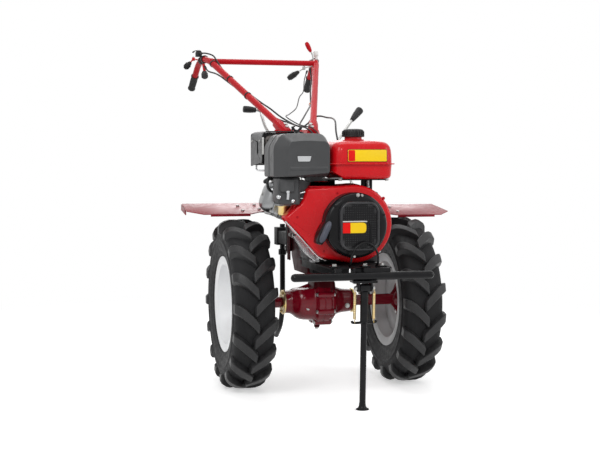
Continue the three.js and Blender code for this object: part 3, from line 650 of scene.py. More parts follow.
def makeMeshTree():
    # A sheet of repeated cells, cut to a rectangle with round corners.
    tree, given = newTree("perforatedSheet", [
        ("Shape", "Object", None), ("Width", "Float", 140.0), ("Height", "Float", 170.0),
        ("Columns", "Int", 10), ("Rows", "Int", 10), ("Corner", "Float", 30.0)])

    def vectorMath(operation, *values):
        return addNode(tree, "ShaderNodeVectorMath", dict(enumerate(values)), operation=operation).outputs

    grid = addNode(tree, "GeometryNodeMeshGrid", {
        "Size X": given["Width"], "Size Y": given["Height"],
        "Vertices X": given["Columns"], "Vertices Y": given["Rows"]})
    corner = addMath(tree, "MULTIPLY", given["Corner"], -1.0)
    half = addNode(tree, "ShaderNodeCombineXYZ", {
        "X": addMath(tree, "MULTIPLY_ADD", given["Width"], 0.5, corner),
        "Y": addMath(tree, "MULTIPLY_ADD", given["Height"], 0.5, corner)})
    place = addNode(tree, "GeometryNodeInputPosition").outputs[0]
    away = vectorMath("SUBTRACT", vectorMath("ABSOLUTE", place)[0], half.outputs[0])[0]
    reach = vectorMath("LENGTH", vectorMath("MAXIMUM", away)[0])["Value"]
    outside = addNode(tree, "FunctionNodeCompare", {0: reach, 1: given["Corner"]}, operation="GREATER_THAN")
    kept = addNode(tree, "GeometryNodeDeleteGeometry", {
        "Geometry": grid.outputs["Mesh"], "Selection": outside.outputs[0]})
    real = addNode(tree, "GeometryNodeRealizeInstances", {
        "Geometry": instances(tree, given, kept.outputs[0])})
    weld = addNode(tree, "GeometryNodeMergeByDistance", {"Geometry": real.outputs[0], "Distance": 0.05})
    return closeTree(tree, given, weld.outputs[0])


ringTree, rowTree, boltTree = makeRingTree(), makeRowTree(), makeBoltTree()
tubeTree, springTree, sheetTree = makeTubeTree(), makeSpringTree(), makeMeshTree()


def seedObject(name, points, edges=()):
    mesh = bpy.data.meshes.new(name)
    mesh.from_pydata([tuple(p) for p in points], edges, [])
    return addObject(name, mesh)


def pattern(name, bm):
    # A shape that a tree repeats; it is thrown away once the tree has run.
    mesh = closedMesh(name, bm)
    mesh.shade_smooth()
    return addObject(name, mesh)


def grow(name, tree, finish, base=None, place=None, **values):
    # Runs a tree, keeps its result as a plain mesh in the row frame, and removes what it grew from.
    base = base or seedObject(name + "Seed", [(0, 0, 0)])
    modifier = base.modifiers.new(name, "NODES")
    modifier.node_group = tree
    values["Material"] = paint[finish]
    for item in tree.interface.items_tree:
        if item.item_type == "SOCKET" and item.in_out == "INPUT" and item.name in values:
            modifier[item.identifier] = values[item.name]
    depsgraph = bpy.context.evaluated_depsgraph_get()
    mesh = bpy.data.meshes.new_from_object(base.evaluated_get(depsgraph))
    mesh.name = name
    mesh.transform(toRow @ (place or Matrix.Identity(4)))
    shape = values.get("Shape")
    for used in filter(None, (base, shape)):
        bpy.data.objects.remove(used)
    return mesh


def tube(name, points, radius, finish, body="root", sides=20, replaces=(), **values):
    edges = [(i, i + 1) for i in range(len(points) - 1)]
    line = seedObject(name + "Line", points, edges)
    mesh = grow(name, tubeTree, finish, base=line, Radius=float(radius), Sides=sides)
    return settle(name, mesh, finish, body, replaces=replaces, **values)


def spring(name, start, end, radius, wire, turns, finish, body, replaces=()):
    start, end = Vector(start), Vector(end)
    aim = (end - start).to_track_quat("Z", "Y").to_matrix().to_4x4()
    mesh = grow(name, springTree, finish, place=Matrix.Translation(start) @ aim, Turns=float(turns),
                Radius=float(radius), Length=(end - start).length, Wire=float(wire))
    return settle(name, mesh, finish, body, replaces=replaces)


boltPlaces = {}  # body and finish, to a list of place, facing and grade


def bolt(place, facing, grade=1.0, body="root", finish="boltSteel"):
    boltPlaces.setdefault((body, finish), []).append((Vector(place), Vector(facing), grade))


def boltCircle(centre, axis, radius, count, grade=1.0, start=0.0, **values):
    along = Vector(axis).normalized()
    side = along.orthogonal().normalized()
    for k in range(count):
        spoke = Quaternion(along, start + math.tau * k / count) @ side
        bolt(Vector(centre) + spoke * radius, along, grade, **values)


def setBolts():
    # Hexagon head on a washer, 13 mm across the flats at grade 1.
    for (body, finish), places in boltPlaces.items():
        bm = bmesh.new()
        addTurned(bm, [(0, -1), (8.4, -1), (8.4, 1.2), (8.0, 1.6), (0, 1.6)], (0, 0, 0), zAxis, 20)
        head = [(0, 1.4), (7.5, 1.4), (7.5, 5.6), (6.5, 6.6), (0, 6.8)]
        addTurned(bm, head, (0, 0, 0), zAxis, 6)
        name = "bolts_" + body + "_" + finish
        seeds = seedObject(name, [p[0] for p in places])
        fields = seeds.data.attributes
        fields.new("facing", "FLOAT_VECTOR", "POINT")
        fields.new("grade", "FLOAT", "POINT")
        for i, (_, direction, size) in enumerate(places):
            fields["facing"].data[i].vector = direction
            fields["grade"].data[i].value = size
        mesh = grow(name, boltTree, finish, base=seeds, Shape=pattern(name + "Head", bm), Seed=7)
        settle(name, mesh, finish, body, sharp=30)


print("shapes and trees ready")


# Wheels: ribbed casing, chevron lugs, pressed rim and welded hub.

tyreSet = {
    "lugs": 16, "sweepBack": 75, "bow": 1.4, "rollRadius": 300, "sections": 12, "softEdge": 3.2,
    "inner": -11, "outer": 81,
    # across the tread: x, top radius, root radius, half width on top, half width at the root
    "lugShape": [(-11, 309, 288, 13, 20), (-5, 319, 288, 18, 25), (22, 319, 288, 19, 26),
                 (42, 318, 286, 19, 26), (60, 312, 280, 18, 25), (73, 303, 262, 17, 24),
                 (81, 290, 266, 15, 20)],
    "casing": [(156, -59.5), (176, -60), (181.5, -62.5), (185, -67.5), (190, -69.5), (193, -68.5),
               (205, -73.5), (226, -76.6), (239, -77), (240.5, -78.4), (244, -78.4), (245.5, -76.8),
               (256, -75.5), (270, -72), (284, -64), (291, -50), (295, -28), (296.5, 0)],
}
rimSet = {
    "shell": [(180, -64.5), (179, -60.8), (156, -60.5), (153, -52), (152, -36), (143, -26), (143, 22),
              (152, 32), (153, 52), (156, 60.5), (179, 60.8), (180, 64.5), (175, 65), (160, 65),
              (149.5, 60), (148.5, 36), (139, 25), (139, -8), (104, -8), (92, -2), (78, 8), (30, 8),
              (30, 2), (74, 2), (90, -8), (100, -14), (139, -14), (139, -24), (148.5, -36), (149.5, -60),
              (160, -65), (175, -65)],
    # the grey shell that paints shade over the rim's inboard faces
    "paintedShade": [(180.6, -65.2), (175, -66), (159.6, -66), (148.4, -60.4), (147.4, -36.6), (137.8, -24.4),
              (137.8, -15.2), (100.2, -15.2), (90.2, -9.2), (74.2, 0.8), (31, 0.8), (31, 1.4), (74.4, 1.4),
              (90.4, -8.6), (100.4, -14.6), (138.4, -14.6), (138.4, -24.2), (148, -36.4), (149, -60.2),
              (160, -65.3), (175, -65.3), (180.2, -64.6)],
}
hubSet = {"boltRadius": 52, "bolts": 4, "boltGrade": 1.05, "turn": 0.6, "gussets": 4, "clearance": 13}


def spread(sections, u):
    # A section between the listed ones; u runs from 0 to 1 over the whole list.
    place = u * (len(sections) - 1)
    i = min(int(place), len(sections) - 2)
    return [a + (b - a) * (place - i) for a, b in zip(sections[i], sections[i + 1])]


def addLug(bm, side):
    loops = []
    for k in range(tyreSet["sections"] + 1):
        x, top, root, halfTop, halfRoot = spread(tyreSet["lugShape"], k / tyreSet["sections"])
        u = (x - tyreSet["inner"]) / (tyreSet["outer"] - tyreSet["inner"])
        offset = tyreSet["sweepBack"] * (1 - (1 - u) ** tyreSet["bow"])
        loop = []
        for r, w in ((top, -halfTop), (top, halfTop), (root, halfRoot), (root, -halfRoot)):
            angle = (offset + w) / tyreSet["rollRadius"]
            loop.append((side * x, -r * math.cos(angle), r * math.sin(angle)))
        loops.append(loop)
    addLoops(bm, loops)


def makeTyre(name, body, sign):
    centre = (sign * trackHalf, 0, axleZ)
    half = tyreSet["casing"]
    turned("casing_" + name, "tyreRubber", half + [(r, -a) for r, a in reversed(half[:-1])], centre, xAxis,
           120, closed=True, body=body, replaces=["tyre_" + name], sharp=50)
    pitch = math.tau / tyreSet["lugs"]
    for side in (1, -1):
        lug = bmesh.new()
        addLug(lug, side)
        start = 0.0 if side > 0 else pitch / 2
        mesh = grow("lugs", ringTree, "lugRubber", place=Matrix.Translation(centre),
                    Shape=pattern("lug", lug), Count=tyreSet["lugs"], Start=start, Step=pitch,
                    Axis=(1, 0, 0), Centre=(0, 0, 0))
        edge = "outer" if side == sign else "inner"
        settle(f"lugs_{edge}_{name}", mesh, "lugRubber", body, bevel=tyreSet["softEdge"], angle=25)


def makeRim(name, body, sign):
    centre = (sign * trackHalf, 0, axleZ)
    outward = xAxis * sign
    turned("rim_shell_" + name, "wheelWhite", rimSet["shell"], centre, outward, 96, closed=True, body=body,
           replaces=["rim_" + name], sharp=50)
    # Grey shell over the inboard faces of the white rim: painted shade on the rim's inner side.
    turned("rim_liner_" + name, "wheelShadeGrey", rimSet["paintedShade"], centre, outward, 96, closed=True, body=body,
           sharp=50)
    bm = bmesh.new()
    stem = Vector(centre) + outward * 10 - yAxis * 128 + zAxis * 22
    addRod(bm, stem, stem + outward * 34 + yAxis * 9, 4, 16)
    addRod(bm, stem + outward * 33 + yAxis * 8.7, stem + outward * 44 + yAxis * 11.6, 5.2, 16)
    piece("valve_" + name, bm, "gripRubber", body)
    for reach, facing in ((8, outward), (-9, -outward)):
        boltCircle(Vector(centre) + outward * reach, facing, hubSet["boltRadius"], hubSet["bolts"],
                   hubSet["boltGrade"], hubSet["turn"], body=body)


def makeHub(name, body, sign, driveEnd):
    centre = Vector((sign * trackHalf, 0, axleZ))
    outward = xAxis * sign
    start = abs(driveEnd) + hubSet["clearance"] - trackHalf
    bm = bmesh.new()
    addTurned(bm, [(0, start - 10), (15, start - 10), (15, start), (19.5, start), (21, start + 1.5),
                   (21, -36), (24, -26), (30, -20), (31, -10), (34, -8.5), (66.5, -8.5), (68, -7),
                   (68, 0.4), (66.5, 1.7), (29.7, 1.7), (29.7, 13), (28.5, 14.5), (24, 14.5), (24, 20),
                   (0, 20)], centre, outward, 56)
    for k in range(hubSet["gussets"]):
        turn = Matrix.Rotation(math.tau * (k + 0.5) / hubSet["gussets"] + hubSet["turn"], 4, "X")
        web = [(-40, 20), (-9, 20), (-9, 52), (-14, 52)]
        corners = [[turn @ Vector((sign * a, w, r)) + centre for a, r in web] for w in (-3, 3)]
        addLoops(bm, corners)
    piece("hub_" + name, bm, "crimsonEnamel", body, bevel=1.0, replaces=["axle_hub_" + name])
    bm = bmesh.new()
    addTurned(bm, [(0, 18), (19, 18), (19, 27), (16.5, 29.5), (0, 29.5)], centre, outward, 6)
    addTurned(bm, [(0, 14.4), (23, 14.4), (23, 18.4), (0, 18.4)], centre, outward, 40)
    piece("axle_nut_" + name, bm, "boltSteel", body, bevel=0.8)


driveRight, driveLeft = cadEdges("differential_housing")[:2]
for sign, name, driveEnd in ((1, "left", driveLeft), (-1, "right", driveRight)):
    makeTyre(name, "wheel_" + name, sign)
    makeRim(name, "wheel_" + name, sign)
    makeHub(name, "wheel_" + name, sign, driveEnd)
print("wheels done")


# Final drive: two cast bells on a bolted joint, hung on a neck under the gearbox.

driveSet = {
    "flangeRadius": 87, "flangeFrom": -32, "flangeTo": 18, "bossRadius": 11.5, "bossRing": 83, "bosses": 8,
    "flatTop": 46, "flatRise": 0.08, "webs": (3.5, 4.5, 5.5), "webStep": math.tau / 6,
    "plugs": [(-71, -60, 301), (89, -49, 305)], "drain": (-24, -20, 222), "neckTop": 429,
}


def makeDrive():
    left, right = driveLeft, driveRight
    centre = (0, 0, axleZ)
    low, high = driveSet["flangeFrom"], driveSet["flangeTo"]
    radius = driveSet["flangeRadius"]
    bm = bmesh.new()
    addTurned(bm, [(0, right), (40.5, right), (42, right + 1.5), (44, right + 22), (50, right + 32),
                   (60, right + 44), (67, right + 58), (70, right + 74), (72, -46), (75, -39), (80, -35),
                   (radius - 2, low), (radius, low + 2), (radius, -9), (radius - 1.5, -7.5),
                   (radius - 1.5, -6), (radius, -4.5), (radius, high - 2), (radius - 2, high),
                   (82, high + 1.5), (80, high + 4), (79, 30), (75, 36), (66, 42), (58, 48), (53, 56),
                   (49, 66), (46, 80), (44, left - 12), (42, left - 1.5), (40.5, left), (0, left)],
              centre, xAxis, 80)
    for vertex in bm.verts:
        # The bell on the right is flat on top and full below.
        if vertex.co.x < low - 6:
            flat = axleZ + driveSet["flatTop"] + driveSet["flatRise"] * (vertex.co.x - right)
            vertex.co.z = min(vertex.co.z, flat)
    piece("drive_bells", bm, "crimsonEnamel", bevel=0.8, replaces=["differential_housing"], sharp=32)
    bm = bmesh.new()
    for k in range(driveSet["bosses"]):
        angle = math.tau * (k + 0.5) / driveSet["bosses"]
        y, z = driveSet["bossRing"] * math.cos(angle), axleZ + driveSet["bossRing"] * math.sin(angle)
        addRod(bm, (low - 4, y, z), (high + 9, y, z), driveSet["bossRadius"], 24, edge=1.5)
        if z < axleZ + 60:
            bolt((low - 4, y, z), -xAxis, 0.95)
            bolt((high + 9, y, z), xAxis, 0.95)
    for turns in driveSet["webs"]:
        turn = Matrix.Translation(centre) @ Matrix.Rotation(turns * driveSet["webStep"], 4, "X")
        for web in ([(-118, 46), (-36, 77), (-36, 60), (-112, 40)], [(20, 80), (70, 52), (70, 40), (20, 58)]):
            addLoops(bm, [[turn @ Vector((x, w, r)) for x, r in web] for w in (-3.5, 3.5)])
    piece("drive_bosses", bm, "crimsonEnamel", bevel=1.2)
    bm = bmesh.new()
    x, y, z = driveSet["drain"]
    addTurned(bm, [(0, 0), (9, 0), (11, 4), (12, 30), (18, 56), (0, 56)], (x, y, z), zAxis, 24)
    addLoops(bm, [roundedBlock(-34, 34, -56, 58, 26, level, wider) for level, wider in (
        (axleZ + 20, 12), (axleZ + 74, 8), (axleZ + 88, 2), (axleZ + 98, 0), (driveSet["neckTop"], 0))])
    pad = (driveSet["neckTop"] - 11, driveSet["neckTop"] + 0.6)
    addLoops(bm, [roundedBlock(-50, 40, -66, 66, 16, level, 0) for level in pad])
    # The neck takes the crimson darkened as painted shade.
    piece("drive_neck", bm, "shadedCaseEnamel", bevel=2.0)
    bolt((x, y, z), -zAxis, 0.9)
    for place in driveSet["plugs"]:
        bm = bmesh.new()
        addRod(bm, Vector(place) + yAxis * 34, place, 13, 28, edge=1.5)
        piece("plug_boss_" + ("left" if place[0] > 0 else "right"), bm, "crimsonEnamel")
        bolt(place, -yAxis, 1.1)
    for x in (-38, -5, 28):
        bolt((x, -60, driveSet["neckTop"] - 11), -zAxis, 0.8)


def roundedBlock(x0, x1, y0, y1, radius, level, wider):
    # One level of a loft: a rectangle with round corners, wider all round where asked.
    outline = roundedRect(x0 - wider, x1 + wider, y0 - wider, y1 + wider, radius)
    return [(x, y, level) for x, y in outline]


def makeBearings():
    profile = [(20.5, 0.4), (44.5, 0.4), (46, 1.6), (46, 6.6), (44.8, 8), (30, 8), (29, 7), (24, 7), (23, 8),
               (20.5, 8)]
    for name, end, sign in (("left", driveLeft, 1), ("right", driveRight, -1)):
        turned("bearing_plate_" + name, "yellowZinc", profile, (end, 0, axleZ), xAxis * sign, 72, closed=True,
               replaces=["bearing_flange_" + name])
        boltCircle((end + sign * 8, 0, axleZ), xAxis * sign, 37.5, 4, 0.7, 0.5, finish="yellowZinc")


makeDrive()
makeBearings()
print("final drive done")

# Gearbox with its covers, clutch housing and hitch.

gearboxSet = {
    # a cover on each side: sign, outline (rear to front, bottom to top, corner) and its bolts
    "covers": [(1, (-52, 96, 508, 724, 34), (-40, 84, 520, 712)),
               (-1, (-40, 92, 560, 716, 30), (-28, 80, 572, 704))],
    "ribs": (-66, 112, 138), "sideCap": (18, 640), "rearCap": 682,
    "filler": (44, 78, 17), "leverCap": (-50, 112, 16), "capZ": (752, 768),
}


def makeGearbox():
    half, back = (cadEdges("gearbox_housing")[i] for i in (1, 3))
    # Case and covers in the crimson darkened nearly to black, as painted shade.
    refined("gearbox_housing", "gearbox_case", "shadedCaseEnamel", bevel=5, segments=3)
    bm = bmesh.new()
    for side, outline, boltLines in gearboxSet["covers"]:
        low, high = sorted((side * (half - 2), side * (half + 7)))
        addPrism(bm, roundedRect(*outline), "x", low, high)
        for y in gearboxSet["ribs"]:
            low, high = sorted((side * (half - 2), side * (half + 4)))
            addPrism(bm, roundedRect(y, y + 7, 470, 720, 3), "x", low, high)
        y0, y1, z0, z1 = boltLines
        for y, z in ((y0, z0), (y0, z1), ((y0 + y1) / 2, z0), ((y0 + y1) / 2, z1), (y1, z0), (y1, z1),
                     (y0, (z0 + z1) / 2), (y1, (z0 + z1) / 2)):
            bolt((side * (half + 7), y, z), xAxis * side, 0.85)
    addTurned(bm, [(0, 0), (33, 0), (34, 1), (34, 7), (32, 9), (20, 9), (19, 7), (0, 7)],
              (half + 6, *gearboxSet["sideCap"]), xAxis, 48)
    piece("gearbox_covers", bm, "shadedCaseEnamel", bevel=1.8)
    rearCap = (0, back, gearboxSet["rearCap"])
    boltCircle(rearCap, yAxis, 30, 4, 0.85, 0.4)
    turned("pto_plug", "boltSteel", [(0, 0), (19, 0), (18, 5), (12, 8), (0, 9)], rearCap, yAxis, 40)
    bm = bmesh.new()
    low, high = gearboxSet["capZ"]
    for x, y, radius in (gearboxSet["filler"], gearboxSet["leverCap"]):
        addRod(bm, (x, y, low), (x, y, high), radius, 32, edge=2)
    x, y = gearboxSet["filler"][:2]
    addTurned(bm, [(0, 0), (20, 0), (20, 9), (17, 13), (0, 14)], (x, y, high), zAxis, 12)
    piece("oil_filler", bm, "satinBlack", bevel=0.8)


def makeClutchHousing():
    x0, x1, y0, y1, z0, z1 = cadEdges("clutch_housing")
    middle = ((x0 + x1) / 2, 0, (z0 + z1) / 2)
    bm = bmesh.new()
    addTurned(bm, [(0, y0), (102, y0), (104, y0 + 2), (104, y0 + 10), (98, y0 + 12), (99, y1 - 12),
                   (110, y1 - 10), (112, y1 - 8), (112, y1 - 2), (110, y1), (0, y1)], middle, yAxis, 80)
    for k in range(12):
        turn = Matrix.Translation(middle) @ Matrix.Rotation(math.tau * k / 12, 4, "Y")
        web = [(y0 + 6, 94), (y0 + 6, 103), (y1 - 6, 110), (y1 - 6, 94)]
        addLoops(bm, [[turn @ Vector((w, y, r)) for y, r in web] for w in (-2.5, 2.5)])
    # The clutch housing takes the cast alloy darkened as painted shade.
    piece("clutch_case", bm, "shadedDarkAlloy", bevel=1.0, replaces=["clutch_housing"])


hitchSet = {"boltPlate": 14, "boltX": (-80, 50), "boltZ": (518, 592), "pin": (-10, 470, 545)}
stakeSet = {
    "x": -39, "y": 470, "radius": 11, "collar": (462, 486),
    "route": [(470, 592), (470, 500), (470, 400), (470, 300), (478, 226), (510, 162), (582, 106)],
}


def makeHitch():
    refined("rear_hitch", "hitch_socket", "frameBlack", bevel=2.5)
    plate = cadEdges("rear_hitch")[2] + hitchSet["boltPlate"]
    for x in hitchSet["boltX"]:
        for z in hitchSet["boltZ"]:
            bolt((x, plate, z), yAxis, 1.0)
    bolt(hitchSet["pin"], xAxis, 1.1)


def makeStake():
    x, y = stakeSet["x"], stakeSet["y"]
    route = smoothPath([(x, *place) for place in stakeSet["route"]], 8)
    tube("stake_rod", route, stakeSet["radius"], "blackEnamel", sides=28, replaces=["depth_stake"], sharp=50)
    low, high = stakeSet["collar"]
    bm = bmesh.new()
    addRod(bm, (x, y, low), (x, y, high), 17, 36, edge=2)
    piece("stake_collar", bm, "blackEnamel")
    bolt((x + 16.5, y, (low + high) / 2), xAxis, 0.8)


makeGearbox()
makeClutchHousing()
makeHitch()
makeStake()
print("gearbox and hitch done")


# Engine frame, bumper and folding stand.

bumperSet = {
    "radius": 14, "y": -532, "z": 466, "lugs": [(-98, -78), (-37, -28), (2, 98)], "lugTop": 494,
    "bolts": (-90, 20, 80), "boltY": -486, "padTop": 499,
}
standSet = {
    "x": 6, "pivotY": -526, "pivotZ": 425, "footY": -505, "rodZ": 306, "springX": 34,
    "coil": 4.4, "wire": 1.2, "turns": 38,
}


def makeBumper():
    refined("engine_frame", "engine_rails", "frameBlack", bevel=2.0)
    radius, y, z, lugTop, padTop = (bumperSet[key] for key in ("radius", "y", "z", "lugTop", "padTop"))
    cap = [(radius * math.sin(a), radius * math.cos(a)) for a in (math.pi / 2 * i / 8 for i in range(9))]
    reach = cadEdges("front_bumper")[1] - radius
    ends = [(r, -reach - a) for r, a in cap] + [(r, reach + a) for r, a in reversed(cap)]
    turned("bumper_tube", "blackEnamel", ends, (0, y, z), xAxis, 40, replaces=["front_bumper"], sharp=50)
    bm = bmesh.new()
    for low, high in bumperSet["lugs"]:
        addBox(bm, low, high, y, -505.3, z - 4, lugTop)
    for x in bumperSet["bolts"]:
        addBox(bm, x - 16, x + 16, -506, -470, lugTop, padTop)
        bolt((x, bumperSet["boltY"], padTop), zAxis, 1.1)
    piece("bumper_lugs", bm, "blackEnamel", bevel=1.8)


def makeStandBracket():
    refined("stand_bracket", "stand_clevis", "blackEnamel", bevel=1.6)
    for side in (1, -1):
        bolt((standSet["x"] + side * 28, -500, 443), -zAxis, 0.9)
        bolt((standSet["x"] + side * 30, standSet["pivotY"], standSet["pivotZ"]), xAxis * side, 1.0)


def makeStand():
    pivotY, pivotZ = standSet["pivotY"], standSet["pivotZ"]
    slope = (standSet["footY"] - pivotY) / -pivotZ

    def legPoint(z, x=0):
        return (standSet["x"] + x, pivotY + (z - pivotZ) * slope, z)

    foot = [(0, 0), (22, 0), (24, 1.2), (23, 3), (16, 6.5), (12.6, 13), (11.4, 24), (0, 24)]
    turned("stand_foot", "blackEnamel", foot, legPoint(0), zAxis, 48, body="stand", sharp=45)
    bm = bmesh.new()
    sleeve = [(7, -18), (14, -18), (15, -17), (15, 17), (14, 18), (7, 18)]
    addTurned(bm, sleeve, legPoint(pivotZ), xAxis, 48, closed=True)
    addRod(bm, legPoint(pivotZ - 12), legPoint(standSet["rodZ"]), 14, 40, edge=1.2)
    addRod(bm, legPoint(standSet["rodZ"] - 1), legPoint(10), 11, 40)
    piece("stand_leg", bm, "blackEnamel", "stand", replaces=["front_stand"], sharp=40)
    rod = [Vector(legPoint(standSet["rodZ"], x)) + Vector((0, 0, rise)) for x, rise in (
        (-44, 6), (-42, 1), (-34, -1), (0, 0), (34, -1), (42, 1), (44, 6))]
    tube("stand_crossrod", smoothPath(rod, 5), 4.6, "blackEnamel", "stand", sides=20)
    for name, side in (("left", 1), ("right", -1)):
        x = side * standSet["springX"]
        low = Vector(legPoint(standSet["rodZ"], x)) + zAxis * 12
        high = Vector(legPoint(pivotZ - 16, x))
        spring("stand_coil_" + name, low, high, standSet["coil"], standSet["wire"], standSet["turns"],
               "yellowZinc", "stand", replaces=["stand_spring_" + name])
        for tip, end, way in (("low", low, -1), ("high", high, 1)):
            hook = [end + Vector((x, y, z * way)) for x, y, z in (
                (standSet["coil"], 0, 0), (2, 0, 3), (0, 0, 6), (0, -5, 11), (0, 0, 15), (0, 5, 11))]
            tube(f"spring_hook_{tip}_{name}", smoothPath(hook, 5), 1.35, "yellowZinc", "stand", sides=10)


makeBumper()
makeStandBracket()
makeStand()
print("frame and stand done")

# Fenders: pressed plates with a turned-down edge, on strap iron supports.

fenderSet = {"tilt": 7.8, "thick": 3, "heights": {"left": 656, "right": 667},
             "bolts": [(308, 0), (308, 100), (238, 29), (238, 121)]}


def makeFender(name, sign):
    refined("fender_" + name, "mudguard_" + name, "fenderEnamel", bevel=1.2)
    refined("fender_support_" + name, "mudguard_strap_" + name, "blackEnamel", bevel=1.0)
    tilt = math.radians(fenderSet["tilt"])
    facing = Vector((0, -math.sin(tilt), math.cos(tilt)))
    height = fenderSet["heights"][name]
    for x, y in fenderSet["bolts"]:
        along = y * math.cos(tilt) - fenderSet["thick"] * math.sin(tilt)
        rise = height + y * math.sin(tilt) + fenderSet["thick"] * math.cos(tilt)
        bolt((sign * x, along, rise), facing, 0.8)


makeFender("left", 1)
makeFender("right", -1)
print("fenders done")


# Engine: crankcase, finned cylinder, cowling and recoil starter.

engineSet = {
    "crank": (5, 638), "tilt": 20, "front": -270, "rear": -140, "finPitch": 10.5, "fins": 15, "finThick": 2.6,
    "shroudFront": -424, "shroudRear": -330.5, "crease": -50, "slant": 0.22,
    "drum": (-7, 637, 112.5, 114), "drumRear": -424.3, "drumFront": -482,
    "grille": (-73, 69, 550, 720), "grilleCorner": 38, "grilleFront": -502, "sheetPitch": 8.0, "hole": 2.6,
    "pull": [(-109, 652), (-141, 582)],
}


def bend(start, control, end, steps=6):
    # A quadratic curve from start towards, but not through, the control point.
    return [tuple((1 - t) ** 2 * a + 2 * t * (1 - t) * b + t * t * c for a, b, c in zip(start, control, end))
            for t in (i / steps for i in range(steps + 1))]


def softOutline(corners, steps=5):
    # A polygon of (u, v, how far back from the corner its rounding starts).
    outline = []
    for i, (u, v, reach) in enumerate(corners):
        corner = Vector((u, v))
        before, after = (Vector(corners[j][:2]) for j in (i - 1, (i + 1) % len(corners)))
        start = corner + (before - corner).normalized() * reach
        end = corner + (after - corner).normalized() * reach
        outline += bend(start, corner, end, steps) if reach else [(u, v)]
    return outline


def inset(outline, amount):
    # Moves an anticlockwise outline inwards.
    moved = []
    for i, here in enumerate(outline):
        here, before, after = (Vector(p) for p in (here, outline[i - 1], outline[(i + 1) % len(outline)]))
        a, b = (here - before).normalized(), (after - here).normalized()
        normal = Vector((-a.y - b.y, a.x + b.x)).normalized()
        share = max(0.4, normal.dot(Vector((-a.y, a.x))))
        moved.append(tuple(here + normal * (amount / share)))
    return moved


def addFrontLoft(bm, outline, levels, closed=False):
    # An outline in x and z, carried through levels of (y, inset).
    loops = [[(x, y, z) for x, z in inset(outline, amount)] for y, amount in levels]
    return addLoops(bm, loops, closed)


def lofted(name, finish, outline, levels, closed=False, **values):
    # A piece that is one front outline, carried through its levels.
    bm = bmesh.new()
    addFrontLoft(bm, outline, levels, closed)
    return piece(name, bm, finish, **values)


def addTopLoft(bm, outline, levels, closed=False):
    # An outline in x and y, carried through levels of (z, inset).
    loops = [[(x, y, z) for x, y in inset(outline, amount)] for z, amount in levels]
    return addLoops(bm, loops, closed)


def fromCrank(u, y, v):
    # u runs from the crankshaft out to the cylinder head, v across it
    tilt = math.radians(engineSet["tilt"])
    x, z = engineSet["crank"]
    return Vector((x - u * math.cos(tilt) + v * math.sin(tilt), y,
                   z + u * math.sin(tilt) + v * math.cos(tilt)))


def addAlongCylinder(bm, levels, halfV, y0, y1, radius):
    # Levels of (u, inset) of a rectangle with round corners across the cylinder.
    outline = roundedRect(y0, y1, -halfV, halfV, radius)
    addLoops(bm, [[fromCrank(u, y, v) for y, v in inset(outline, amount)] for u, amount in levels])


def makeCrankcase():
    # Crankcase parts take the cast alloy darkened as painted shade.
    refined("engine_block", "crankcase", "shadedDarkAlloy", bevel=2.5)
    bm = bmesh.new()
    for x in (-118, 92):
        addBox(bm, x, x + 30, -318, -142, 494.3, 512)
    cover = softOutline([(-318, 520, 30), (-142, 520, 30), (-142, 735, 40), (-318, 735, 40)])
    addPrism(bm, cover, "x", 120, 131)
    for y in (-300, -262, -224, -186):
        addBox(bm, 124, 129, y, y + 5, 512, 742)
    addRod(bm, (118, -176, 540), (136, -176, 540), 15, 32, edge=2)
    addRod(bm, (60, -131, 700), (60, -112, 700), 20, 32, edge=2)
    piece("crankcase_cover", bm, "shadedDarkAlloy", bevel=1.4)
    for y in (-306, -230, -154):
        for z in (532, 724):
            bolt((131, y, z), xAxis, 0.75)
    for x in (-103, 107):
        for y in (-296, -164):
            bolt((x, y, 512), zAxis, 1.1)
    bolt((-60, -306, 505), Vector((-0.5, -0.2, 0.8)), 0.9)
    bm = bmesh.new()
    addRod(bm, (100, -262, 560), (146, -262, 592), 11, 28, edge=1.5)
    addTurned(bm, [(0, 0), (15, 0), (16, 2), (16, 10), (12, 14), (0, 15)], (146, -262, 592),
              Vector((46, 0, 32)), 10)
    piece("oil_dipstick", bm, "satinBlack", bevel=0.6)


